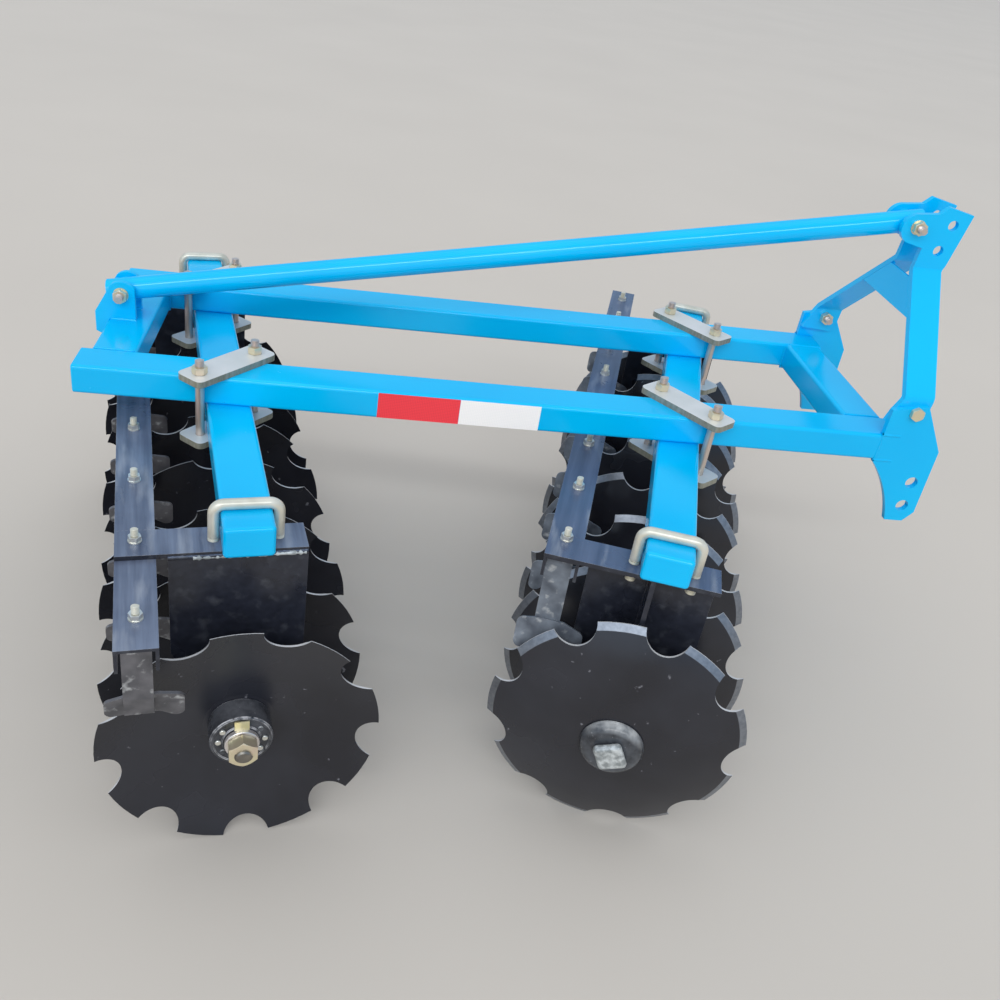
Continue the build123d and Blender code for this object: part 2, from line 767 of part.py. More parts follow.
    # Spools: turned profiles between the discs, parted inside the bearings, and the end spool
    # that fills the first disc's hollow
    with BuildPart() as spools:
        flange = spool_flange / 2
        waist = journal_diameter / 2
        bore = shaft_clear / 2
        spans = [(0, dish_depth, "plain")]
        for disc in range(discs_per_gang - 1):
            start = disc * disc_spacing + disc_back
            end = (disc + 1) * disc_spacing + dish_depth
            parting = [station for station in bearing_stations if start < station < end]
            if parting:
                spans += [
                    (start, parting[0] - spool_parting / 2, "left"),
                    (parting[0] + spool_parting / 2, end, "right"),
                ]
            else:
                spans += [(start, end, "both")]
        for start, end, flanges in spans:
            with BuildSketch(gang_side(gang)):
                with BuildLine():
                    cone = spool_flange_length + spool_cone_length
                    outline = [(start, axle_height + bore)]
                    if flanges == "plain":
                        face = end_spool_face / 2
                        groove_inner, groove_outer = (size / 2 for size in end_spool_groove)
                        outline += [
                            (start, axle_height + groove_inner),
                            (start + end_spool_groove_depth, axle_height + groove_inner),
                            (start + end_spool_groove_depth, axle_height + groove_outer),
                            (start, axle_height + groove_outer),
                            (start, axle_height + face),
                            (start + flange - face, axle_height + flange),
                            (end, axle_height + flange),
                        ]
                    if flanges in ("left", "both"):
                        outline += [
                            (start, axle_height + flange),
                            (start + spool_flange_length, axle_height + flange),
                            (start + cone, axle_height + waist),
                        ]
                    if flanges == "right":
                        outline += [(start, axle_height + waist)]
                    if flanges == "left":
                        outline += [(end, axle_height + waist)]
                    if flanges in ("right", "both"):
                        outline += [
                            (end - cone, axle_height + waist),
                            (end - spool_flange_length, axle_height + flange),
                            (end, axle_height + flange),
                        ]
                    outline += [(end, axle_height + bore)]
                    Polyline(*outline, close=True)
                make_face()
            revolve(axis=axle(gang))
    finish(spools.part, f"{gang.name}_spools")

    # Discs: dished, with a flat middle, a ground edge on the round side, a square hole and a ring
    # of rounded notches. Every second disc is turned by half a notch pitch.
    with BuildPart() as discs:
        rim_radius = disc_diameter / 2
        flat = disc_flat / 2
        outer_curve = dish_radius + disc_thickness
        bevel_radius = rim_radius - disc_bevel
        middle_radius = (flat + bevel_radius) / 2
        for disc in range(discs_per_gang):
            rim = disc * disc_spacing
            with BuildSketch(gang_side(gang)):
                with BuildLine():
                    hollow_middle = sqrt(dish_radius**2 - middle_radius**2) - rim_centre
                    round_middle = sqrt(outer_curve**2 - middle_radius**2) - rim_centre
                    round_end = sqrt(outer_curve**2 - bevel_radius**2) - rim_centre
                    Polyline(
                        (rim + disc_back, axle_height + flat),
                        (rim + disc_back, axle_height),
                        (rim + dish_depth, axle_height),
                        (rim + dish_depth, axle_height + flat),
                    )
                    ThreePointArc(
                        (rim + dish_depth, axle_height + flat),
                        (rim + hollow_middle, axle_height + middle_radius),
                        (rim, axle_height + rim_radius),
                    )
                    Polyline(
                        (rim, axle_height + rim_radius),
                        (rim + edge_thickness, axle_height + rim_radius),
                        (rim + round_end, axle_height + bevel_radius),
                    )
                    ThreePointArc(
                        (rim + round_end, axle_height + bevel_radius),
                        (rim + round_middle, axle_height + middle_radius),
                        (rim + disc_back, axle_height + flat),
                    )
                make_face()
            revolve(axis=axle(gang))
            with BuildSketch(gang_section(gang, rim + dish_depth / 2)):
                with Locations((0, axle_height)):
                    turn = 90 + gang.roll + half_turn * (1 + disc % 2)
                    with PolarLocations(rim_radius + notch_outset, notch_count, turn):
                        Circle(notch_radius)
                    hole_side = shaft_side + 2 * hole_play
                    Rectangle(hole_side, hole_side, rotation=gang.roll)
            extrude(amount=disc_back, both=True, mode=Mode.SUBTRACT)
    finish(discs.part, f"{gang.name}_discs")

    # End fittings: washer and nut at the hollow end, domed washer at the other
    with BuildPart() as end_fittings:
        with BuildSketch(gang_section(gang, -washer_thickness)):
            with Locations((0, axle_height)):
                Circle(washer_diameter / 2)
                Circle(shaft_side / 2, mode=Mode.SUBTRACT)
        extrude(amount=-gang.inward * washer_thickness)
        with BuildSketch(gang_section(gang, -washer_thickness - nut_height)):
            with Locations((0, axle_height)):
                RegularPolygon(nut_across_flats / 2, 6, major_radius=False)
                Circle(shaft_side / 2, mode=Mode.SUBTRACT)
        extrude(amount=-gang.inward * nut_height)
        with BuildSketch(gang_side(gang)):
            with BuildLine():
                dome = dome_diameter / 2
                crown = head_across_flats / sqrt(2)
                Polyline(
                    (head_start, axle_height + crown),
                    (head_start, axle_height + shaft_clear / 2),
                    (dome_start, axle_height + shaft_clear / 2),
                    (dome_start, axle_height + dome),
                    (dome_start + dome_rim, axle_height + dome),
                )
                ThreePointArc(
                    (dome_start + dome_rim, axle_height + dome),
                    (dome_start + dome_height * 0.8, axle_height + (dome * 2 + crown) / 3),
                    (head_start, axle_height + crown),
                )
            make_face()
        revolve(axis=axle(gang))
    finish(end_fittings.part, f"{gang.name}_end_fittings")
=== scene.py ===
import json
import random
from math import cos, pi, radians, sin, tan

import bmesh
import bpy
from mathutils import Matrix, Vector, noise


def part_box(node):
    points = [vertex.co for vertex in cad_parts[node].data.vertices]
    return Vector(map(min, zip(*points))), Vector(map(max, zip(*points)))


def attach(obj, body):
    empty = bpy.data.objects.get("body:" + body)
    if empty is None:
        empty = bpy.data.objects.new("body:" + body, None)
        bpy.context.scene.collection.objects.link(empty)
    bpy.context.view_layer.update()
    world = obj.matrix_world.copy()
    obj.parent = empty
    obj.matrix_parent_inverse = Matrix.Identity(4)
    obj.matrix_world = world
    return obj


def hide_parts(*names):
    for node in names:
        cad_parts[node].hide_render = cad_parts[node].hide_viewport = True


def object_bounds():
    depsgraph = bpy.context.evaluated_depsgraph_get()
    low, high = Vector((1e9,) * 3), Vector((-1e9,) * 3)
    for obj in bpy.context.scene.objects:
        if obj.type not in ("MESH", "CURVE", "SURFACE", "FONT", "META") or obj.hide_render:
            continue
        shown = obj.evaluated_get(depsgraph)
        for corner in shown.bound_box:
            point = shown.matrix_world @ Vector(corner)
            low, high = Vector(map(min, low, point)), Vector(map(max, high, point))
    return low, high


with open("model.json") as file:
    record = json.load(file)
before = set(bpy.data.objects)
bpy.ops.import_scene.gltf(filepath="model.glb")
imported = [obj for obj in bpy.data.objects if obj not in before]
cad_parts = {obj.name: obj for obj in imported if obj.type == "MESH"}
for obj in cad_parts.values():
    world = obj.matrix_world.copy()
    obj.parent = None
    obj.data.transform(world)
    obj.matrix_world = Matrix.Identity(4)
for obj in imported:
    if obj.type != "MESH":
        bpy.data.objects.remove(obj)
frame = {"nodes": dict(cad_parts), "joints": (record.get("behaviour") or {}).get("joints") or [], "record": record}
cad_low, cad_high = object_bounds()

mm = 0.001
upright = Matrix.Identity(4)

# Camera: its place, its turns in degrees, the lens and the middle of the view in pixels of a
# picture 1000 wide
picture = 1000
camera_place = Vector((-282.4, -1826.3, 1493.4)) * mm
camera_yaw, camera_pitch, camera_roll = 8.07, 31.56, -8.57
camera_focus = 1002.5
camera_middle = (459.9, 487.5)

# Sizes of the machine that the frame gives only as whole boxes
axle_height = 230 * mm
disc_radius = 230 * mm
disc_spacing = 175 * mm
discs_per_gang = 8
disc_bevel = 12 * mm
gang_length = (discs_per_gang - 1) * disc_spacing
beam_height = 55 * mm
top_plate_height = 560 * mm
plate_thickness = 8 * mm
top_plate_width = 67 * mm
top_plate_bottom = top_plate_height - plate_thickness
hanger_starts = (81 * mm, gang_length - top_plate_width)
hanger_width = 214 * mm
bar_setback = 154 * mm

# Turns in degrees, about the axle, of each gang's square shaft and of its forged head
gang_roll = {"rear": 2.5, "front": -11.9}
head_turn = {"rear": 2.5, "front": 25}

# Bolts: their diameters, how far they stand out past the nut, and the width across flats, the
# heights of head and nut and the pitch as shares of the diameter
clamp_bolt = 16 * mm
frame_bolt = 16 * mm
scraper_bolt = 12 * mm
bolt_end = 12 * mm
bolt_flats = 1.5
bolt_head = 10 / 16
bolt_nut = 14 / 16
bolt_pitch = 0.125

# Vertices nearer than this are the same corner of a solid
same_corner = 0.01 * mm

random.seed(7)


def linear(colour):
    """Linear colour of an sRGB hex value."""
    parts = [int(colour[i : i + 2], 16) / 255 for i in (1, 3, 5)]
    parts = [c / 12.92 if c <= 0.04045 else ((c + 0.055) / 1.055) ** 2.4 for c in parts]
    return (*parts, 1.0)


def add_node(tree, kind, inputs=None, **settings):
    """A node with its settings, and its inputs set to values or linked to other nodes' outputs."""
    node = tree.nodes.new(kind)
    for name, setting in settings.items():
        setattr(node, name, setting)
    for socket, value in (inputs or {}).items():
        if isinstance(value, bpy.types.NodeSocket):
            tree.links.new(value, node.inputs[socket])
        else:
            node.inputs[socket].default_value = value
    return node


def new_finish(name, colour, **sockets):
    """A material of one finish: its tree and its shader, which has the given colour and values."""
    material = bpy.data.materials.new(name)
    material.use_nodes = True
    tree = material.node_tree
    shader = tree.nodes["Principled BSDF"]
    shader.inputs["Base Color"].default_value = linear(colour)
    for socket, value in sockets.items():
        shader.inputs[socket.replace("_", " ")].default_value = value
    return material, tree, shader


def patches(tree, size, low, high, stretch=(1, 1, 1), turn=0.0, detail=3.0):
    """Factor from 0 to 1 of soft patches about as large as size, drawn out along turned axes."""
    place = add_node(tree, "ShaderNodeTexCoord").outputs["Object"]
    turned_place = add_node(
        tree,
        "ShaderNodeMapping",
        {"Vector": place, "Rotation": (0, 0, turn), "Scale": stretch},
        vector_type="TEXTURE",
    ).outputs["Vector"]
    spots = add_node(
        tree, "ShaderNodeTexNoise", {"Vector": turned_place, "Scale": 0.5 / size, "Detail": detail}
    ).outputs["Fac"]
    return add_node(
        tree, "ShaderNodeMapRange", {"Value": spots, "From Min": low, "From Max": high}
    ).outputs["Result"]


def upward(tree, low, high):
    """Factor that grows from 0 to 1 as the surface turns up to the sky."""
    normal = add_node(tree, "ShaderNodeTexCoord").outputs["Normal"]
    height = add_node(tree, "ShaderNodeSeparateXYZ", {0: normal}).outputs["Z"]
    return add_node(
        tree, "ShaderNodeMapRange", {"Value": height, "From Min": low, "From Max": high}
    ).outputs["Result"]


def blue_enamel():
    """Azure alkyd enamel sprayed on steel: glossy and even, orange peel and rare dull spots."""
    material, tree, shader = new_finish("blue_enamel", "#00bbf9", Specular_IOR_Level=0.34)
    cloud = patches(tree, 130 * mm, 0.3, 0.7)
    tone = add_node(
        tree,
        "ShaderNodeMix",
        {0: cloud, 6: linear("#00b8f7"), 7: linear("#00c2fc")},
        data_type="RGBA",
    ).outputs[2]
    tree.links.new(tone, shader.inputs["Base Color"])
    dull = patches(tree, 9 * mm, 0.68, 0.8, detail=5.0)
    rough = add_node(tree, "ShaderNodeMapRange", {"Value": dull, "To Min": 0.16, "To Max": 0.34})
    tree.links.new(rough.outputs["Result"], shader.inputs["Roughness"])
    peel = patches(tree, 2.5 * mm, 0.3, 0.7, detail=1.0)
    bump = add_node(
        tree, "ShaderNodeBump", {"Height": peel, "Distance": 0.02 * mm, "Strength": 0.5}
    )
    tree.links.new(bump.outputs["Normal"], shader.inputs["Normal"])
    return material


def black_enamel(name, turn, thin, thick):
    """Black enamel on rolled bar: near black upright, and on top a film of dust, thin to thick, with a painted
    bluish sky reflection.
    """
    material, tree, shader = new_finish(name, "#1d202a")
    streaks = patches(tree, 6 * mm, 0.3, 0.7, stretch=(1, 22, 1), turn=turn, detail=5.0)
    cloud = patches(tree, 45 * mm, 0.35, 0.7)
    both = add_node(
        tree, "ShaderNodeMix", {0: 0.7, 2: cloud, 3: streaks}, data_type="FLOAT"
    ).outputs[0]
    dust_and_sheen = add_node(
        tree, "ShaderNodeMix", {0: both, 6: linear(thin), 7: linear(thick)}, data_type="RGBA"
    ).outputs[2]
    bare = add_node(
        tree,
        "ShaderNodeMix",
        {0: both, 6: linear("#1b1e28"), 7: linear("#2a2e3a")},
        data_type="RGBA",
    ).outputs[2]
    # Faces that turn up take the dust colours, which also hold a painted bluish sky reflection
    level = upward(tree, 0.6, 0.95)
    tone = add_node(
        tree, "ShaderNodeMix", {0: level, 6: bare, 7: dust_and_sheen}, data_type="RGBA"
    ).outputs[2]
    # Pale rubbed streaks, stronger on faces that turn up: scuffs, and on the tops a painted sheen
    rubbed_and_sheen = patches(tree, 12 * mm, 0.55, 0.78, stretch=(1, 6, 1), turn=turn, detail=8.0)
    lit = add_node(
        tree, "ShaderNodeMapRange", {"Value": level, "To Min": 0.1, "To Max": 0.5}
    ).outputs["Result"]
    wear_and_sheen = add_node(
        tree, "ShaderNodeMath", {0: rubbed_and_sheen, 1: lit}, operation="MULTIPLY"
    ).outputs["Value"]
    colour = add_node(
        tree, "ShaderNodeMix", {0: wear_and_sheen, 6: tone, 7: linear("#b0b8c2")}, data_type="RGBA"
    ).outputs[2]
    tree.links.new(colour, shader.inputs["Base Color"])
    rough = add_node(tree, "ShaderNodeMapRange", {"Value": cloud, "To Min": 0.26, "To Max": 0.42})
    tree.links.new(rough.outputs["Result"], shader.inputs["Roughness"])
    scale = patches(tree, 2 * mm, 0.3, 0.7)
    bump = add_node(
        tree, "ShaderNodeBump", {"Height": scale, "Distance": 0.03 * mm, "Strength": 0.4}
    )
    tree.links.new(bump.outputs["Normal"], shader.inputs["Normal"])
    return material


def worn_edge():
    """Edge of a black plate where paint has rubbed off the mill scale: grey specks among black, more of them on
    edges that face up, which is partly a painted highlight.
    """
    material, tree, shader = new_finish("worn_black_edge", "#4a4e58", Roughness=0.4)
    specks = patches(tree, 5 * mm, 0.32, 0.58, detail=5.0)
    # Specks show mostly on edges that face up: wear, and a painted highlight
    lit = upward(tree, -0.2, 0.7)
    wear_and_sheen = add_node(
        tree, "ShaderNodeMath", {0: specks, 1: lit}, operation="MULTIPLY"
    ).outputs["Value"]
    colour = add_node(
        tree,
        "ShaderNodeMix",
        {0: wear_and_sheen, 6: linear("#20232b"), 7: linear("#c3c6cc")},
        data_type="RGBA",
    ).outputs[2]
    tree.links.new(colour, shader.inputs["Base Color"])
    return material


def scraper_enamel(name, deep, pale):
    """Thin black enamel on scrapers, scoured by a first run: clouds and pale scuffs."""
    material, tree, shader = new_finish(name, deep, Roughness=0.36)
    cloud = patches(tree, 22 * mm, 0.35, 0.68)
    tone = add_node(
        tree, "ShaderNodeMix", {0: cloud, 6: linear(deep), 7: linear(pale)}, data_type="RGBA"
    ).outputs[2]
    scuffs = patches(tree, 9 * mm, 0.58, 0.8, detail=9.0)
    colour = add_node(
        tree, "ShaderNodeMix", {0: scuffs, 6: tone, 7: linear("#c0c4c6")}, data_type="RGBA"
    ).outputs[2]
    tree.links.new(colour, shader.inputs["Base Color"])
    scale = patches(tree, 2 * mm, 0.3, 0.7)
    bump = add_node(
        tree, "ShaderNodeBump", {"Height": scale, "Distance": 0.06 * mm, "Strength": 0.6}
    )
    tree.links.new(bump.outputs["Normal"], shader.inputs["Normal"])
    return material


def disc_enamel(name, place, along):
    """Satin black enamel on pressed spring steel: dusty scuffs, bright ground strip at the rim, and cut edges
    painted near white where they face up as a painted highlight.
    """
    material, tree, shader = new_finish(name, "#1f1f24", Roughness=0.26)
    bevel_start, softness, edge_facing = disc_radius - disc_bevel, 0.4 * mm, 0.3
    coordinates = add_node(tree, "ShaderNodeTexCoord")
    from_axle = add_node(
        tree,
        "ShaderNodeVectorMath",
        {0: coordinates.outputs["Object"], 1: place},
        operation="SUBTRACT",
    ).outputs["Vector"]
    away = add_node(
        tree, "ShaderNodeVectorMath", {0: from_axle, 1: along}, operation="CROSS_PRODUCT"
    ).outputs["Vector"]
    radius = add_node(tree, "ShaderNodeVectorMath", {0: away}, operation="LENGTH").outputs["Value"]
    facing = add_node(
        tree,
        "ShaderNodeVectorMath",
        {0: coordinates.outputs["Normal"], 1: along},
        operation="DOT_PRODUCT",
    ).outputs["Value"]
    past_bevel = add_node(
        tree,
        "ShaderNodeMapRange",
        {
            "Value": radius,
            "From Min": bevel_start - softness,
            "From Max": bevel_start + softness,
        },
    ).outputs["Result"]
    round_side = add_node(
        tree, "ShaderNodeMath", {0: facing, 1: edge_facing}, operation="GREATER_THAN"
    ).outputs["Value"]
    strip = add_node(
        tree, "ShaderNodeMath", {0: past_bevel, 1: round_side}, operation="MULTIPLY"
    ).outputs["Value"]
    square_on = add_node(tree, "ShaderNodeMath", {0: facing}, operation="ABSOLUTE").outputs["Value"]
    edge = add_node(
        tree, "ShaderNodeMath", {0: square_on, 1: edge_facing}, operation="LESS_THAN"
    ).outputs["Value"]
    bare = add_node(
        tree, "ShaderNodeMath", {0: strip, 1: edge}, operation="MAXIMUM"
    ).outputs["Value"]
    # Cut edges turn near white as they face up: painted highlight
    bright = add_node(
        tree, "ShaderNodeMath", {0: edge, 1: upward(tree, -0.1, 0.9)}, operation="MULTIPLY"
    ).outputs["Value"]
    cloud = patches(tree, 90 * mm, 0.35, 0.7)
    tone = add_node(
        tree,
        "ShaderNodeMix",
        {0: cloud, 6: linear("#1c1d24"), 7: linear("#292b33")},
        data_type="RGBA",
    ).outputs[2]
    scuffs = patches(tree, 8 * mm, 0.7, 0.75, detail=7.0)
    scuffed = add_node(
        tree, "ShaderNodeMix", {0: scuffs, 6: tone, 7: linear("#70727a")}, data_type="RGBA"
    ).outputs[2]
    grind = patches(tree, 4 * mm, 0.3, 0.7, detail=5.0)
    ground = add_node(
        tree,
        "ShaderNodeMix",
        {0: grind, 6: linear("#7e8289"), 7: linear("#94989f")},
        data_type="RGBA",
    ).outputs[2]
    rubbed_and_sheen = add_node(
        tree, "ShaderNodeMix", {0: bright, 6: ground, 7: linear("#c4c8cd")}, data_type="RGBA"
    ).outputs[2]
    colour = add_node(
        tree, "ShaderNodeMix", {0: bare, 6: scuffed, 7: rubbed_and_sheen}, data_type="RGBA"
    ).outputs[2]
    tree.links.new(colour, shader.inputs["Base Color"])
    metal = add_node(tree, "ShaderNodeMapRange", {"Value": strip, "To Max": 0.9})
    tree.links.new(metal.outputs["Result"], shader.inputs["Metallic"])
    satin = add_node(tree, "ShaderNodeMapRange", {"Value": cloud, "To Min": 0.18, "To Max": 0.3})
    rough = add_node(
        tree,
        "ShaderNodeMix",
        {0: bare, 2: satin.outputs["Result"], 3: 0.4},
        data_type="FLOAT",
    ).outputs[0]
    tree.links.new(rough, shader.inputs["Roughness"])
    peel = patches(tree, 4 * mm, 0.3, 0.7)
    bump = add_node(
        tree, "ShaderNodeBump", {"Height": peel, "Distance": 0.04 * mm, "Strength": 0.4}
    )
    tree.links.new(bump.outputs["Normal"], shader.inputs["Normal"])
    return material


def cast_iron(name, deep, pale, chipped, upper_dust_and_sheen, grain):
    """Grey cast iron dipped in black enamel: sand grain, glossy rubbed spots, upper sides tinted: dust on spools
    and bearings, a painted sheen on the dome.
    """
    material, tree, shader = new_finish(name, deep, Roughness=0.24)
    cloud = patches(tree, 16 * mm, 0.35, 0.65, detail=6.0)
    tone = add_node(
        tree, "ShaderNodeMix", {0: cloud, 6: linear(deep), 7: linear(pale)}, data_type="RGBA"
    ).outputs[2]
    uneven = patches(tree, 12 * mm, 0.3, 0.6, detail=6.0)
    # Upper sides take the given colour: dust on spools and bearings, a painted sheen on the dome
    dust_and_sheen_share = add_node(
        tree, "ShaderNodeMath", {0: upward(tree, 0.25, 1.0), 1: uneven}, operation="MULTIPLY"
    ).outputs["Value"]
    film = add_node(
        tree, "ShaderNodeMix", {0: dust_and_sheen_share, 6: tone, 7: linear(upper_dust_and_sheen)}, data_type="RGBA"
    ).outputs[2]
    chips = patches(tree, 3 * mm, chipped, chipped + 0.08, detail=7.0)
    colour = add_node(
        tree, "ShaderNodeMix", {0: chips, 6: film, 7: linear("#93979d")}, data_type="RGBA"
    ).outputs[2]
    tree.links.new(colour, shader.inputs["Base Color"])
    sand = patches(tree, 2.2 * mm, 0.25, 0.75, detail=4.0)
    bump = add_node(
        tree, "ShaderNodeBump", {"Height": sand, "Distance": grain, "Strength": 0.6}
    )
    tree.links.new(bump.outputs["Normal"], shader.inputs["Normal"])
    return material


def forged_steel():
    """Hot-forged steel with thin paint mostly knocked off: rough pale grey scale over black."""
    material, tree, shader = new_finish("forged_steel", "#b0b6b8", Roughness=0.42, Metallic=0.25)
    flakes = patches(tree, 6 * mm, 0.4, 0.6, detail=7.0)
    colour = add_node(
        tree,
        "ShaderNodeMix",
        {0: flakes, 6: linear("#8b9294"), 7: linear("#c9d0d2")},
        data_type="RGBA",
    ).outputs[2]
    tree.links.new(colour, shader.inputs["Base Color"])
    scale = patches(tree, 3 * mm, 0.2, 0.8, detail=6.0)
    bump = add_node(
        tree, "ShaderNodeBump", {"Height": scale, "Distance": 0.3 * mm, "Strength": 0.7}
    )
    tree.links.new(bump.outputs["Normal"], shader.inputs["Normal"])
    return material


def zinc(name, base, tint, roughness, metallic=0.7):
    """Electroplated zinc with a passivated film: bright satin metal with faint coloured clouds."""
    material, tree, shader = new_finish(name, base, Roughness=roughness, Metallic=metallic)
    cloud = patches(tree, 14 * mm, 0.3, 0.7)
    colour = add_node(
        tree, "ShaderNodeMix", {0: cloud, 6: linear(base), 7: linear(tint)}, data_type="RGBA"
    ).outputs[2]
    tree.links.new(colour, shader.inputs["Base Color"])
    drawn = patches(tree, 1.5 * mm, 0.3, 0.7)
    bump = add_node(
        tree, "ShaderNodeBump", {"Height": drawn, "Distance": 0.03 * mm, "Strength": 0.5}
    )
    tree.links.new(bump.outputs["Normal"], shader.inputs["Normal"])
    return material


def plated_plate():
    """Flame-cut plate with dull zinc: lilac-white level faces, olive film on the cut edges."""
    material, tree, shader = new_finish("dull_zinc", "#d4d6d9", Roughness=0.4, Metallic=0.25)
    cloud = patches(tree, 25 * mm, 0.3, 0.7)
    level = add_node(
        tree,
        "ShaderNodeMix",
        {0: cloud, 6: linear("#d1d5d2"), 7: linear("#dddfde")},
        data_type="RGBA",
    ).outputs[2]
    lines = patches(tree, 3 * mm, 0.3, 0.7, stretch=(1, 1, 4))
    cut = add_node(
        tree,
        "ShaderNodeMix",
        {0: lines, 6: linear("#7a7c6c"), 7: linear("#9a9b90")},
        data_type="RGBA",
    ).outputs[2]
    colour = add_node(
        tree,
        "ShaderNodeMix",
        {0: upward(tree, 0.3, 0.8), 6: cut, 7: level},
        data_type="RGBA",
    ).outputs[2]
    tree.links.new(colour, shader.inputs["Base Color"])
    bump = add_node(
        tree, "ShaderNodeBump", {"Height": lines, "Distance": 0.06 * mm, "Strength": 0.4}
    )
    tree.links.new(bump.outputs["Normal"], shader.inputs["Normal"])
    return material


def reflective_film(name, colour, deep):
    """Retroreflective film under clear plastic: even colour, fine honeycomb of sealed cells."""
    material, tree, shader = new_finish(name, colour, Roughness=0.32)
    place = add_node(tree, "ShaderNodeTexCoord").outputs["Object"]
    cell_width = 3.2 * mm
    cells = add_node(
        tree,
        "ShaderNodeTexVoronoi",
        {"Vector": place, "Scale": 1 / cell_width, "Randomness": 0.15},
        feature="DISTANCE_TO_EDGE",
    ).outputs["Distance"]
    seam = add_node(
        tree, "ShaderNodeMapRange", {"Value": cells, "From Min": 0.02, "From Max": 0.1}
    ).outputs["Result"]
    film = add_node(
        tree, "ShaderNodeMix", {0: seam, 6: linear(deep), 7: linear(colour)}, data_type="RGBA"
    ).outputs[2]
    tree.links.new(film, shader.inputs["Base Color"])
    bump = add_node(
        tree, "ShaderNodeBump", {"Height": seam, "Distance": 0.04 * mm, "Strength": 0.3}
    )
    tree.links.new(bump.outputs["Normal"], shader.inputs["Normal"])
    return material


def studio_floor():
    """Plain pale floor, matt, hardly clouded."""
    material, tree, shader = new_finish("studio_floor", "#c7c4be", Roughness=0.9)
    cloud = patches(tree, 600 * mm, 0.3, 0.7)
    colour = add_node(
        tree,
        "ShaderNodeMix",
        {0: cloud, 6: linear("#c6c3bd"), 7: linear("#c9c6c0")},
        data_type="RGBA",
    ).outputs[2]
    tree.links.new(colour, shader.inputs["Base Color"])
    return material


def turned(axis, angle):
    """Turn about an axis by an angle in degrees."""
    return Matrix.Rotation(radians(angle), 4, axis)


def aimed(direction):
    """Turn that brings Z to a direction."""
    return Vector(direction).to_track_quat("Z", "Y").to_matrix().to_4x4()


def at(x, y, z):
    """Move by X, Y and Z."""
    return Matrix.Translation((x, y, z))


def any_turn():
    """Turn about Z that leaves a bolt's or nut's flats at any angle."""
    return turned("Z", random.uniform(0, 60))


def add_object(name, data):
    """A new object in the scene, made of a mesh, a lamp or a camera."""
    thing = bpy.data.objects.new(name, data)
    bpy.context.scene.collection.objects.link(thing)
    return thing


def join(whole, form, places, material_index=0):
    """Puts a copy of a form at each place into the whole piece."""
    shape = bpy.data.meshes.new("form")
    form.to_mesh(shape)
    for place in places:
        copy = shape.copy()
        copy.transform(place)
        first = len(whole.faces)
        whole.from_mesh(copy)
        whole.faces.ensure_lookup_table()
        for face in whole.faces[first:]:
            face.material_index = material_index
        bpy.data.meshes.remove(copy)
    bpy.data.meshes.remove(shape)


def add_piece(name, shape, body, materials, nodes=(), crease=40):
    """Makes an object of a finished bmesh: smooth up to the crease angle, riding on its body."""
    bmesh.ops.recalc_face_normals(shape, faces=shape.faces)
    mesh = bpy.data.meshes.new(name)
    shape.to_mesh(mesh)
    shape.free()
    for material in materials:
        mesh.materials.append(material)
    mesh.shade_smooth()
    mesh.set_sharp_from_angle(angle=radians(crease))
    piece = add_object(name, mesh)
    weighted = piece.modifiers.new("weighted", "WEIGHTED_NORMAL")
    weighted.keep_sharp = True
    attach(piece, body)
    if nodes:
        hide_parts(*nodes)


def bevelled_copy(node, width, materials, edge_index=0, segments=3):
    """Stands for a node: the same form with its sharp edges broken by a small round."""
    shape = bmesh.new()
    shape.from_mesh(frame["nodes"][node].data)
    bmesh.ops.remove_doubles(shape, verts=shape.verts, dist=same_corner)
    flat_angle, sharp_angle = radians(0.5), radians(35)
    bmesh.ops.dissolve_limit(
        shape, angle_limit=flat_angle, verts=shape.verts, edges=shape.edges
    )
    sharp = [e for e in shape.edges if e.is_manifold and e.calc_face_angle() > sharp_angle]
    made = bmesh.ops.bevel(
        shape,
        geom=sharp,
        offset=width,
        offset_type="OFFSET",
        affect="EDGES",
        segments=segments,
        profile=0.5,
        clamp_overlap=True,
        material=-1,
    )
    for face in shape.faces:
        face.material_index = 0
    for face in made["faces"]:
        face.material_index = edge_index
    add_piece(f"{node}_form", shape, node_body[node], materials, [node], crease=50)


def lathe(points, steps):
    """Form turned about Z from points of radius and height."""
    form = bmesh.new()
    line = [form.verts.new((radius, 0, height)) for radius, height in points]
    edges = [form.edges.new(pair) for pair in zip(line, line[1:])]
    bmesh.ops.spin(
        form,
        geom=line + edges,
        cent=(0, 0, 0),
        axis=(0, 0, 1),
        angle=2 * pi,
        steps=steps,
        use_merge=True,
    )
    bmesh.ops.remove_doubles(form, verts=form.verts, dist=0.001 * mm)
    return form


def threaded_end(diameter, length, pitch, steps=16):
    """Rod end with its thread: a saw-tooth line that turns once about Z as it climbs one pitch."""
    form = bmesh.new()
    crest = diameter / 2
    root = crest - 0.6 * pitch
    turns = int(length / pitch)
    line = [
        form.verts.new((root if half % 2 else crest, 0, half * pitch / 2))
        for half in range(2 * turns - 1)
    ]
    edges = [form.edges.new(pair) for pair in zip(line, line[1:])]
    bmesh.ops.spin(
        form,
        geom=line + edges,
        cent=(0, 0, 0),
        axis=(0, 0, 1),
        dvec=(0, 0, pitch / steps),
        angle=2 * pi,
        steps=steps,
        use_merge=False,
    )
    bmesh.ops.remove_doubles(form, verts=form.verts, dist=pitch / 200)
    bmesh.ops.holes_fill(form, edges=form.edges)
    chamfer = 0.2 * root
    core = [
        (0, 0),
        (root, 0),
        (root, length - chamfer),
        (root - chamfer, length),
        (0, length),
    ]
    join(form, lathe(core, steps), [upright])
    return form


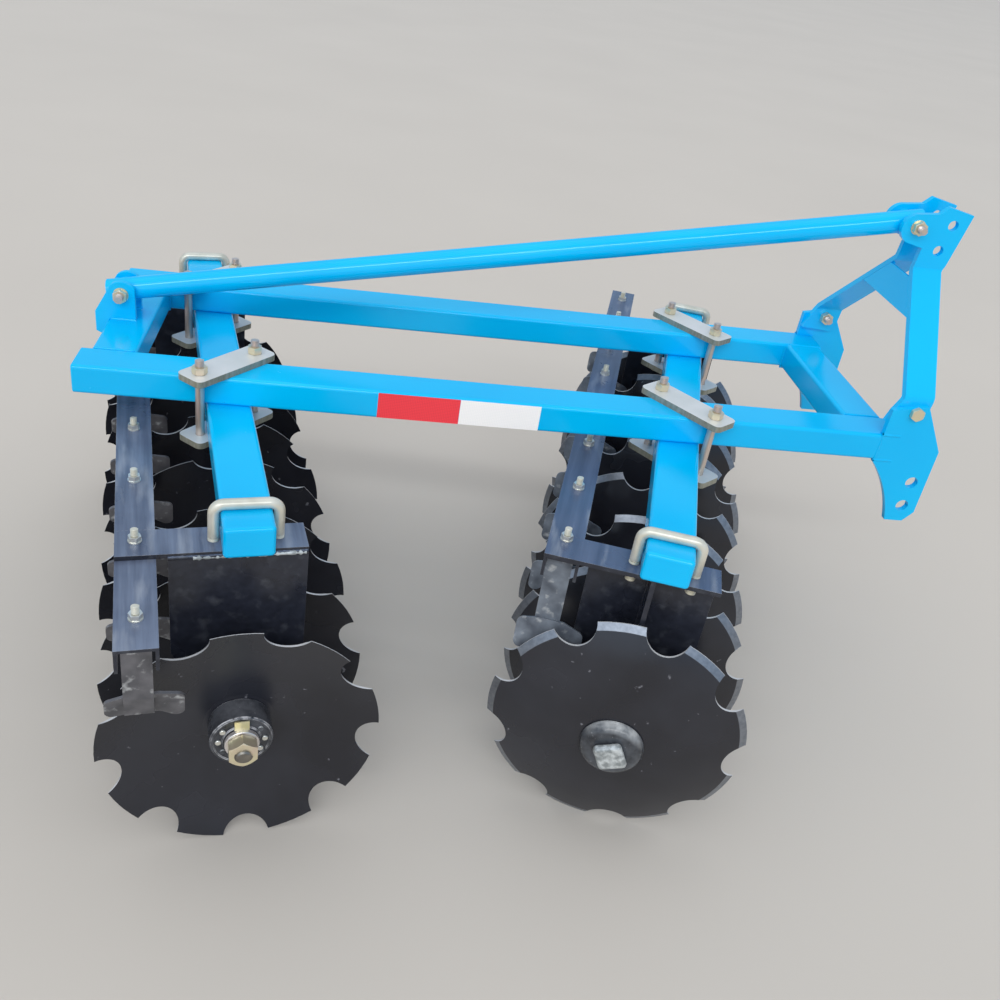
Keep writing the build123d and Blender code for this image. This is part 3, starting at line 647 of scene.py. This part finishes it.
def hexagon(across_flats, height):
    """Nut or bolt head from Z = 0 upward, its corners cut by a cone at both ends."""
    form = bmesh.new()
    face_radius = across_flats * 0.475
    chamfer = tan(radians(30))
    bmesh.ops.create_circle(form, segments=6, radius=across_flats / 2 / cos(pi / 6))
    bmesh.ops.subdivide_edges(form, edges=form.edges, cuts=3)
    low_wall = form.edges[:]
    for vert in form.verts:
        vert.co.z = (vert.co.xy.length - face_radius) * chamfer

    def pulled(edges, place):
        made = bmesh.ops.extrude_edge_only(form, edges=edges)["geom"]
        for item in made:
            if isinstance(item, bmesh.types.BMVert):
                item.co = place(item.co)
        return [item for item in made if isinstance(item, bmesh.types.BMEdge) and item.is_boundary]

    high_wall = pulled(low_wall, lambda co: Vector((co.x, co.y, height - co.z)))
    top = pulled(high_wall, lambda co: Vector((*(co.xy.normalized() * face_radius), height)))
    bottom = pulled(low_wall, lambda co: Vector((*(co.xy.normalized() * face_radius), 0)))
    bmesh.ops.contextual_create(form, geom=top)
    bmesh.ops.contextual_create(form, geom=bottom)
    return form


def beyond_grip(diameter):
    """How much longer a bolt is than its grip: head, nut and the end past the nut."""
    return (bolt_head + bolt_nut) * diameter + bolt_end


def bolt(diameter, grip, washer=False):
    """Forms of a bolt whose grip starts at Z = 0, each with its place and material index.

    Index 0 is for the nut, the head and the washer, and index 1 for the rod and its thread.
    """
    flats = bolt_flats * diameter
    nut, head = bolt_nut * diameter, bolt_head * diameter
    shank = [(0, 0), (diameter / 2, 0), (diameter / 2, grip), (0, grip)]
    parts = [
        (hexagon(flats, nut), at(0, 0, grip), 0),
        (threaded_end(diameter, nut + bolt_end, bolt_pitch * diameter), at(0, 0, grip), 1),
        (lathe(shank, steps=20), upright, 1),
        (hexagon(flats, head), at(0, 0, -head), 0),
    ]
    if washer:
        rim, thickness = 0.9 * diameter, 2 * mm
        ring = [(0, 0), (rim, 0), (rim, thickness), (diameter / 2, thickness), (0, thickness)]
        parts.append((lathe(ring, steps=24), at(0, 0, grip), 0))
    return parts


def join_bolts(whole, places, diameter, grip, washer=False):
    """Puts a bolt at each place into the whole piece."""
    for form, offset, material_index in bolt(diameter, grip, washer):
        join(whole, form, [place @ offset for place in places], material_index)


def weld(whole, start, end, radius, material_index=0, ripple=3.5 * mm, spread=0.1):
    """Bead of weld from start to end: a rod of uneven ripples, half sunk in the corner it fills."""
    run = Vector(end) - Vector(start)
    steps = max(3, round(run.length / ripple))
    crest, valley = 1.0, 0.85
    form = bmesh.new()
    bmesh.ops.create_circle(
        form, cap_ends=True, segments=8, radius=radius, matrix=at(*start) @ aimed(run)
    )
    ring = form.edges[:]
    centre = Vector(start)
    size = 1.0
    for step in range(steps):
        made = bmesh.ops.extrude_edge_only(form, edges=ring)["geom"]
        verts = [item for item in made if isinstance(item, bmesh.types.BMVert)]
        ring = [item for item in made if isinstance(item, bmesh.types.BMEdge) and item.is_boundary]
        centre = centre + run / steps
        bmesh.ops.translate(form, vec=run / steps, verts=verts)
        new_size = (crest if step % 2 else valley) * random.uniform(1 - spread, 1 + spread)
        bmesh.ops.scale(
            form, vec=(new_size / size,) * 3, space=Matrix.Translation(-centre), verts=verts
        )
        size = new_size
    bmesh.ops.holes_fill(form, edges=form.edges)
    join(whole, form, [upright], material_index)


# The body that each node rides on
node_body = {
    node: body for body, nodes in frame["record"]["behaviour"]["bodies"].items() for node in nodes
}

# Middle of the machine's box, and the Y of its middle plane, which halves the brace tube
machine_middle = (cad_low + cad_high) / 2
brace_low, brace_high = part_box("brace_tube")
machine_y = (brace_low.y + brace_high.y) / 2


def gang_frame(joint):
    """A gang's place: X forward across it, Y inward along its axle, Z up from the floor.

    Y starts at the rim of the disc at the gang's hollow end.
    """
    along = Vector(joint["axis"])
    place = Vector(joint["pos_m"])
    if along.dot(machine_middle - place) < 0:
        along.negate()
    across = Vector((abs(along.y), -along.x * (1 if along.y > 0 else -1), 0))
    matrix = Matrix((across, along, (0, 0, 1))).transposed().to_4x4()
    matrix.translation = (place.x, place.y, 0)
    return matrix


gangs = {
    joint["child"].removesuffix("_gang"): gang_frame(joint) for joint in frame["joints"]
}

blue = blue_enamel()
edge_wear = worn_edge()
scraper_black = {
    "rear": scraper_enamel("rear_scraper_enamel", "#434449", "#6a6a6f"),
    "front": scraper_enamel("front_scraper_enamel", "#4a515c", "#7d8793"),
}
cast_black = cast_iron(
    "cast_iron_black", "#1c1e23", "#454951", chipped=0.68, upper_dust_and_sheen="#5c5f66", grain=0.25 * mm
)
# The dome's pale upper colour is a painted sheen
dome_black = cast_iron(
    "dome_iron_black", "#24272d", "#50555c", chipped=0.66, upper_dust_and_sheen="#c4c9cc", grain=0.08 * mm
)
forged = forged_steel()
plate_zinc = plated_plate()
nut_zinc = zinc("yellow_zinc", "#e4dcb8", "#e0cfb8", roughness=0.3)
stud_zinc = zinc("pink_zinc", "#d8c0b2", "#c8c0b6", roughness=0.32)
rod_zinc = zinc("ivory_zinc", "#e2decf", "#ccc8b6", roughness=0.34, metallic=0.4)
gold_zinc = zinc("gold_zinc", "#ecdca0", "#e8e0bc", roughness=0.3)
washer_zinc = zinc("white_zinc", "#e0dad8", "#d2ccc8", roughness=0.34)
dark_steel = zinc("oiled_steel", "#6a6660", "#8a857c", roughness=0.34)
bright_zinc = zinc("bright_zinc", "#d9dbd8", "#d6d2c4", roughness=0.28)

# Dust on each gang's hangers and bars, from thin to thick, its bluish tint a painted sky reflection on their tops
dust_and_sheen = {"rear": ("#414b62", "#75839b"), "front": ("#3c4c68", "#5b6b88")}


def make_camera():
    """Camera of the photograph's view."""
    yaw, pitch, roll = radians(camera_yaw), radians(camera_pitch), radians(camera_roll)
    ahead = Vector((sin(yaw) * cos(pitch), cos(yaw) * cos(pitch), -sin(pitch)))
    level_right = Vector((cos(yaw), -sin(yaw), 0))
    level_down = ahead.cross(level_right)
    right = cos(roll) * level_right + sin(roll) * level_down
    down = cos(roll) * level_down - sin(roll) * level_right
    data = bpy.data.cameras.new("camera")
    data.sensor_width = 36
    data.lens = data.sensor_width * camera_focus / picture
    data.shift_x = 0.5 - camera_middle[0] / picture
    data.shift_y = camera_middle[1] / picture - 0.5
    data.clip_end = 100
    camera = add_object("camera", data)
    turn = Matrix((right, -down, -ahead)).transposed().to_4x4()
    camera.matrix_world = Matrix.Translation(camera_place) @ turn
    bpy.context.scene.camera = camera


def sun_lamp(name, towards, strength, angle):
    """Distant lamp that shines from the given direction, as wide as the angle in degrees."""
    lamp = bpy.data.lights.new(name, "SUN")
    lamp.energy = strength
    lamp.angle = radians(angle)
    add_object(name, lamp).matrix_world = aimed(towards)


def strip_lamp(name, towards, distance, strength, length, width):
    """Long level lamp that gives the machine's middle a strength in watts per square metre."""
    lamp = bpy.data.lights.new(name, "AREA")
    lamp.shape = "RECTANGLE"
    lamp.size = length
    lamp.size_y = width
    lamp.energy = strength * pi * distance**2
    away = Vector(towards).normalized()
    add_object(name, lamp).matrix_world = at(*(machine_middle + away * distance)) @ aimed(away)


def make_studio():
    """Pale floor, even surroundings, a long key lamp behind the viewer, wide fill and top lamps."""
    floor_reach = 40
    shape = bmesh.new()
    bmesh.ops.create_grid(shape, x_segments=1, y_segments=1, size=floor_reach)
    mesh = bpy.data.meshes.new("floor")
    shape.to_mesh(mesh)
    shape.free()
    mesh.materials.append(studio_floor())
    floor = add_object("floor", mesh)

    world = bpy.data.worlds.new("studio")
    bpy.context.scene.world = world
    world.use_nodes = True
    tree = world.node_tree
    tree.nodes.clear()
    seen = add_node(tree, "ShaderNodeLightPath")
    direct = add_node(
        tree,
        "ShaderNodeMath",
        {0: seen.outputs["Is Camera Ray"], 1: seen.outputs["Is Glossy Ray"]},
        operation="MAXIMUM",
    ).outputs["Value"]
    shown = add_node(
        tree,
        "ShaderNodeMath",
        {0: direct, 1: seen.outputs["Is Transmission Ray"]},
        operation="MAXIMUM",
    ).outputs["Value"]
    lighting = add_node(
        tree, "ShaderNodeBackground", {"Color": linear("#faf9fb"), "Strength": 0.78}
    ).outputs["Background"]
    backdrop = add_node(
        tree, "ShaderNodeBackground", {"Color": linear("#a9c9ea"), "Strength": 1.0}
    ).outputs["Background"]
    either = add_node(tree, "ShaderNodeMixShader", {0: shown, 1: lighting, 2: backdrop})
    add_node(tree, "ShaderNodeOutputWorld", {"Surface": either.outputs["Shader"]})

    strip_lamp(
        "key_lamp", towards=(-0.1, -0.78, 0.62), distance=60, strength=0.9, length=60, width=2.1
    )
    sun_lamp("fill_lamp", towards=(-0.45, -0.80, 0.40), strength=0.6, angle=70)
    sun_lamp("top_lamp", towards=(-0.1, 0.15, 1.0), strength=0.25, angle=60)
    bpy.context.scene.view_settings.view_transform = "Standard"


def make_frame_pieces():
    """The blue frame: bevelled forms of its beams, plates and arms."""
    for node, width in (
        ("main_beam_near", 3),
        ("main_beam_far", 3),
        ("hitch_plate_near", 1.5),
        ("hitch_plate_far", 1.5),
        ("mast_arm_near", 1.5),
        ("mast_arm_far", 1.5),
        ("mast_gusset", 1),
        ("brace_ear_near", 1.5),
        ("brace_ear_far", 1.5),
        ("rear_gang_beam", 7),
        ("front_gang_beam", 7),
        ("cross_tube_rear", 1),
        ("cross_tube_front", 1),
        ("brace_tube", 0.8),
    ):
        bevelled_copy(node, width * mm, [blue])


def solids(node, space=upright):
    """Lowest and highest corner of each separate solid of a node, seen in a space, in order."""
    shape = bmesh.new()
    shape.from_mesh(frame["nodes"][node].data)
    bmesh.ops.remove_doubles(shape, verts=shape.verts, dist=same_corner)
    inward = space.inverted()
    left = set(shape.verts)
    boxes = []
    while left:
        reached = [left.pop()]
        for vert in reached:
            for edge in vert.link_edges:
                other = edge.other_vert(vert)
                if other in left:
                    left.remove(other)
                    reached.append(other)
        places = [inward @ vert.co for vert in reached]
        low, high = (Vector([pick(p[i] for p in places) for i in range(3)]) for pick in (min, max))
        boxes.append((low, high))
    shape.free()
    return sorted(boxes, key=lambda box: tuple(box[0].yxz))


def make_tape():
    """Strip of reflective film on the near beam's outer wall: one red length and one white."""
    low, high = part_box("main_beam_near")
    start_from_front = 1009 * mm
    length, height, thickness = 151 * mm, 50 * mm, 0.5 * mm
    seam, sunk = 0.4 * mm, 0.05 * mm
    red = reflective_film("red_film", "#fc3f4c", "#dc2f3d")
    white = reflective_film("white_film", "#ffffff", "#f0f3f4")
    whole = bmesh.new()
    for part in (0, 1):
        form = bmesh.new()
        bmesh.ops.create_cube(form, size=1)
        bmesh.ops.scale(form, vec=(length - seam, thickness, height), verts=form.verts)
        middle = high.x - start_from_front + length * (part + 0.5)
        place = at(middle, low.y - thickness / 2 + sunk, (low.z + high.z) / 2)
        join(whole, form, [place], part)
        form.free()
    add_piece("reflective_tape", whole, "frame", [red, white])


def make_frame_bolts():
    """Bolts of the brace, their heads on the far side, and of the mast's feet, heads outside."""
    head = bolt_head * frame_bolt
    for node in ("brace_bolts", "mast_bolts"):
        whole = bmesh.new()
        for low, high in solids(node):
            nut_side = -1 if node == "brace_bolts" or low.y > machine_middle.y else 1
            middle = (low + high) / 2
            start = high.y - head if nut_side < 0 else low.y + head
            grip = high.y - low.y - beyond_grip(frame_bolt)
            place = at(middle.x, start, middle.z) @ turned("X", 90 if nut_side < 0 else -90)
            join_bolts(whole, [place], frame_bolt, grip, washer=node == "brace_bolts")
        add_piece(f"{node}_form", whole, "frame", [nut_zinc, stud_zinc], [node])


def make_frame_welds():
    """Painted weld beads of the blue frame: cross tubes, hitch plates, ears and gusset."""
    bead, top_bead, plate_bead = 3.5 * mm, 2.5 * mm, 3.2 * mm
    front_bead, gusset_bead = 4 * mm, 3 * mm
    short_of_corner, top_setback, top_sunk = 5 * mm, 6 * mm, 1 * mm
    whole = bmesh.new()
    for node in ("cross_tube_rear", "cross_tube_front"):
        low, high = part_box(node)
        foot, top = low.z + short_of_corner, high.z - short_of_corner
        left, right, crest = low.x + top_setback, high.x - top_setback, high.z - top_sunk
        for y in (low.y, high.y):
            for x in (low.x, high.x):
                weld(whole, (x, y, foot), (x, y, top), bead)
            weld(whole, (low.x, y, low.z), (high.x, y, low.z), bead)
            weld(whole, (left, y, crest), (right, y, crest), top_bead)
    seam_depth, ear_setback = 2 * mm, 30 * mm
    for side_name, side in (("near", -1), ("far", 1)):
        plate_low, plate_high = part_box(f"hitch_plate_{side_name}")
        beam_low, beam_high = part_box(f"main_beam_{side_name}")
        outer = plate_low.y if side < 0 else plate_high.y
        inner = plate_high.y if side < 0 else plate_low.y
        seam_y = outer - side * seam_depth
        for z in (beam_low.z, beam_high.z):
            weld(whole, (plate_low.x, seam_y, z), (beam_high.x, seam_y, z), bead)
        for x, y, radius in (
            (beam_high.x, inner, front_bead),
            (plate_low.x, seam_y, plate_bead),
        ):
            weld(whole, (x, y, beam_low.z), (x, y, beam_high.z), radius)
        ear_low, ear_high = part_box(f"brace_ear_{side_name}")
        ear_start = ear_low.x + ear_setback
        for y in (ear_low.y, ear_high.y):
            weld(whole, (ear_start, y, beam_high.z), (ear_high.x, y, beam_high.z), bead)
    low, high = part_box("mast_gusset")
    edge = 6 * mm
    corners = [vert.co.copy() for vert in frame["nodes"]["mast_gusset"].data.vertices]
    top_half = max(abs(co.y - machine_y) for co in corners if co.z > high.z - edge)
    bottom_half = max(abs(co.y - machine_y) for co in corners if co.z < low.z + edge)
    for side in (-1, 1):
        start = Vector((high.x, machine_y + side * top_half, high.z))
        end = Vector((low.x + (high.x - low.x) * 0.25, machine_y + side * bottom_half, low.z))
        weld(whole, start, end, gusset_bead)
    add_piece("frame_welds", whole, "frame", [blue], crease=80)


def make_clamps(name):
    """Zinc-plated clamp plates and their long bolts."""
    bevelled_copy(f"{name}_clamp_plates", 1.5 * mm, [plate_zinc])
    node = f"{name}_clamp_bolts"
    clamp_plate = 12 * mm
    grip = 2 * beam_height + 2 * clamp_plate
    head = bolt_head * clamp_bolt
    places = [
        at((low.x + high.x) / 2, (low.y + high.y) / 2, low.z + head) @ any_turn()
        for low, high in solids(node)
    ]
    whole = bmesh.new()
    join_bolts(whole, places, clamp_bolt, grip)
    add_piece(f"{node}_form", whole, "frame", [nut_zinc, stud_zinc], [node])


def bent_rod(half_span, foot, top, diameter, bend):
    """U of round rod in the XZ plane: up one leg, round two bends and down the other leg."""
    form = bmesh.new()
    circle = bmesh.ops.create_circle(form, segments=20, radius=diameter / 2)["verts"]
    bmesh.ops.translate(form, vec=(-half_span, 0, foot), verts=circle)
    ring = form.edges[:]

    def run(edges, step):
        made = bmesh.ops.extrude_edge_only(form, edges=edges)["geom"]
        verts = [item for item in made if isinstance(item, bmesh.types.BMVert)]
        bmesh.ops.translate(form, vec=step, verts=verts)
        new_edges = [item for item in made if isinstance(item, bmesh.types.BMEdge)]
        return [edge for edge in new_edges if all(vert in verts for vert in edge.verts)]

    def turn(edges, x):
        made = bmesh.ops.spin(
            form,
            geom=edges + list({vert for edge in edges for vert in edge.verts}),
            cent=(x, 0, top - diameter / 2 - bend),
            axis=(0, 1, 0),
            angle=pi / 2,
            steps=8,
            use_merge=False,
        )["geom_last"]
        return [item for item in made if isinstance(item, bmesh.types.BMEdge)]

    leg = top - diameter / 2 - bend - foot
    ring = run(ring, (0, 0, leg))
    ring = turn(ring, -half_span + bend)
    ring = run(ring, (2 * (half_span - bend), 0, 0))
    ring = turn(ring, half_span - bend)
    ring = run(ring, (0, 0, -leg))
    bmesh.ops.holes_fill(form, edges=form.edges)
    return form


def make_u_bolts(name, place):
    """U-bolts over the gang beam's ends: bent rod, threaded feet and nuts below."""
    node = f"{name}_u_bolts"
    rod, bend, nut = 18 * mm, 16 * mm, 14 * mm
    thread, pitch = 40 * mm, 2 * mm
    nut_half_width = rod * bolt_flats / 2 / cos(pi / 6)
    whole = bmesh.new()
    for low, high in solids(node, place):
        half_span = (high.x - low.x) / 2 - nut_half_width
        middle = (low + high) / 2
        spot = place @ at(middle.x, middle.y, 0)
        join(whole, bent_rod(half_span, low.z + thread, high.z, rod, bend), [spot], 1)
        legs = [spot @ at(side * half_span, 0, 0) for side in (-1, 1)]
        feet = [leg @ at(0, 0, low.z + thread) @ turned("X", 180) for leg in legs]
        join(whole, threaded_end(rod, thread, pitch), feet, 1)
        nuts = [leg @ at(0, 0, top_plate_bottom - nut) @ any_turn() for leg in legs]
        join(whole, hexagon(rod * bolt_flats, nut), nuts, 0)
    add_piece(f"{node}_form", whole, "frame", [nut_zinc, rod_zinc], [node])


def make_scraper_bolts(name, place):
    """Small bolts that hold the scrapers: heads under the straps, nuts on top."""
    node = f"{name}_scraper_bolts"
    head = bolt_head * scraper_bolt
    whole = bmesh.new()
    for low, high in solids(node, place):
        middle = (low + high) / 2
        spot = place @ at(middle.x, middle.y, low.z + head) @ any_turn()
        grip = high.z - low.z - beyond_grip(scraper_bolt)
        join_bolts(whole, [spot], scraper_bolt, grip, washer=True)
    add_piece(f"{node}_form", whole, "frame", [bright_zinc, rod_zinc], [node])


def make_hangers(name, place, black):
    """Hangers, bearings, bar, channel and scrapers of one gang, with their weld beads."""
    for part, width, material, slot in (
        ("hangers", 1.4, black, "black_paint"),
        ("bearings", 2, cast_black, "cast_black"),
        ("scraper_bar", 0.8, black, "black_paint"),
        ("scraper_channel", 1.2, black, "black_paint"),
        ("scrapers", 0.8, scraper_black[name], "black_paint"),
    ):
        finish = [material, edge_wear]
        bevelled_copy(f"{name}_{part}", width * mm, finish, edge_index=1, segments=2)
    bead, back_bead, seam_bead, bare_bead = 3.5 * mm, 4 * mm, 3 * mm, 3.6 * mm
    rib_foot = axle_height + 55 * mm
    seam_half, seam_height = 29 * mm, top_plate_height - 2.8 * mm
    whole = bmesh.new()

    def bead_along(start, end, radius, **choices):
        weld(whole, place @ Vector(start), place @ Vector(end), radius, **choices)

    half = hanger_width / 2
    for start in hanger_starts:
        back = start + plate_thickness
        for y, radius in ((start, bead), (back, back_bead)):
            bead_along((-half, y, top_plate_bottom), (half, y, top_plate_bottom), radius)
        for x in (-plate_thickness / 2, plate_thickness / 2):
            bead_along((x, back, rib_foot), (x, back, top_plate_bottom), bead)
        plate_edge = start + (top_plate_width if start < gang_length / 2 else 0)
        seam = [(side * seam_half - bar_setback, plate_edge, seam_height) for side in (-1, 1)]
        bead_along(*seam, seam_bead, spread=0.02)
    if name == "rear":
        # Bare, lumpy bead under the outer edge of the near hanger's top plate
        y, z = hanger_starts[0] - 1 * mm, top_plate_bottom - 1 * mm
        back_end, front_end = (-70 * mm, y, z), (103 * mm, y, z)
        bead_along(back_end, front_end, bare_bead, material_index=1, ripple=4.5 * mm, spread=0.35)
    add_piece(f"{name}_hanger_welds", whole, "frame", [black, forged], crease=80)


def block(size, bevel, segments):
    """Block of a size in X, Y and Z about the origin, its edges broken by a round."""
    form = bmesh.new()
    bmesh.ops.create_cube(form, size=1)
    bmesh.ops.scale(form, vec=size, verts=form.verts)
    bmesh.ops.bevel(
        form,
        geom=form.edges[:],
        offset=bevel,
        offset_type="OFFSET",
        affect="EDGES",
        segments=segments,
        profile=0.5,
        clamp_overlap=True,
        material=-1,
    )
    return form


def add_hub_marks(whole, outward, finishes):
    """Lock tab above the end nut and the ring of round bosses in the groove of the end spool."""
    tab = block((24.5 * mm, 19 * mm, 3 * mm), bevel=0.8 * mm, segments=2)
    tab_height, tab_depth = 36.5 * mm, 1.4 * mm
    join(whole, tab, [outward @ at(0, tab_height, tab_depth)], finishes.index(gold_zinc))
    radius, chamfer, groove, face = 5 * mm, 0.6 * mm, -3 * mm, -0.4 * mm
    profile = [
        (0, groove),
        (radius, groove),
        (radius, face - chamfer),
        (radius - chamfer, face),
        (0, face),
    ]
    boss = lathe(profile, steps=16)
    ring_radius, ring_step = 38 * mm, 36
    for steps, finish in (((0, 4, 5, 9), bright_zinc), ((1, 6, 7, 8), dome_black)):
        spots = [outward @ turned("Z", ring_step * step) @ at(ring_radius, 0, 0) for step in steps]
        join(whole, boss, spots, finishes.index(finish))


def make_shaft(name, place, outward, inward):
    """Square shaft of one gang with its threaded end and its forged head."""
    node = f"{name}_shaft"
    low, high = solids(node, place)[0]
    side, rod, pitch = 30 * mm, 30 * mm, 3.5 * mm
    head, head_length, head_bevel = 52 * mm, 16 * mm, 10 * mm
    length = high.y - head_length
    whole = bmesh.new()
    bar = bmesh.new()
    bmesh.ops.create_cube(bar, size=1)
    bmesh.ops.scale(bar, vec=(side, side, length), verts=bar.verts)
    roll = turned("Z", -gang_roll[name])
    join(whole, bar, [inward @ roll @ at(0, 0, length / 2)], 0)
    join(whole, threaded_end(rod, -low.y, pitch, steps=28), [outward], 1)
    form = block((head, head, head_length), head_bevel, segments=4)
    bmesh.ops.subdivide_edges(form, edges=form.edges, cuts=4, use_grid_fill=True)
    coarse, fine, lumpiness = 9 * mm, 4 * mm, 0.03
    for vert in form.verts:
        lump = noise.noise(vert.co / coarse) + 0.5 * noise.noise(vert.co / fine)
        vert.co *= 1 + lumpiness * (lump - 0.8)
    roll = turned("Z", -head_turn[name])
    join(whole, form, [inward @ roll @ at(0, 0, high.y - head_length / 2)], 0)
    add_piece(
        f"{node}_form", whole, f"{name}_gang", [forged, dark_steel], [node]
    )


def make_end_fittings(name, place, outward, inward):
    """Washer and nut at the shaft's threaded end and the domed washer under its head."""
    node = f"{name}_end_fittings"
    finishes = [nut_zinc, washer_zinc, dome_black, gold_zinc, bright_zinc]
    (nut_low, _), (_, dome_high) = solids(node, place)
    whole = bmesh.new()
    chamfer = 1 * mm
    radius, thickness = 28.5 * mm, 9 * mm
    profile = [
        (0, 0),
        (radius - chamfer, 0),
        (radius, chamfer),
        (radius, thickness - chamfer),
        (radius - chamfer, thickness),
        (0, thickness),
    ]
    join(whole, lathe(profile, steps=48), [outward], finishes.index(washer_zinc))
    nut_flats = 46 * mm
    nut = hexagon(nut_flats, -nut_low.y - thickness)
    join(whole, nut, [outward @ at(0, 0, thickness)], finishes.index(nut_zinc))
    if name == "rear":
        add_hub_marks(whole, outward, finishes)
    dome, rim, rise, crown = 56.5 * mm, 5 * mm, 21 * mm, 36 * mm
    shoulder = dome - chamfer
    profile = [(0, 0), (shoulder, 0), (dome, chamfer), (dome, rim - chamfer), (shoulder, rim)]
    arc_steps = 8
    for step in range(1, arc_steps + 1):
        angle = pi / 2 * step / arc_steps
        flank = crown + (shoulder - crown) * cos(angle)
        profile.append((flank, rim + (rise - rim) * sin(angle)))
    profile.append((0, rise))
    dome_place = inward @ at(0, 0, dome_high.y - rise)
    join(whole, lathe(profile, steps=64), [dome_place], finishes.index(dome_black))
    add_piece(f"{node}_form", whole, f"{name}_gang", finishes, [node])


def make_turning_gang(name, place):
    """What turns with one axle: discs, spools, shaft and end fittings."""
    along = place.col[1].to_3d()
    hinge = place.translation + Vector((0, 0, axle_height))
    outward = place @ at(0, 0, axle_height) @ turned("X", 90)
    inward = place @ at(0, 0, axle_height) @ turned("X", -90)
    discs = frame["nodes"][f"{name}_discs"]
    discs.material_slots[0].material = disc_enamel(f"{name}_disc_enamel", hinge, along)
    finish = [cast_black, edge_wear]
    bevelled_copy(f"{name}_spools", 1.2 * mm, finish, edge_index=1, segments=2)
    make_shaft(name, place, outward, inward)
    make_end_fittings(name, place, outward, inward)


make_camera()
make_studio()
make_frame_pieces()
make_tape()
make_frame_bolts()
make_frame_welds()
for gang_name, gang_place in gangs.items():
    gang_turn = gang_place.col[0].to_2d().angle_signed(Vector((1, 0)))
    gang_black = black_enamel(f"{gang_name}_black_enamel", gang_turn, *dust_and_sheen[gang_name])
    make_clamps(gang_name)
    make_u_bolts(gang_name, gang_place)
    make_hangers(gang_name, gang_place, gang_black)
    make_scraper_bolts(gang_name, gang_place)
    make_turning_gang(gang_name, gang_place)
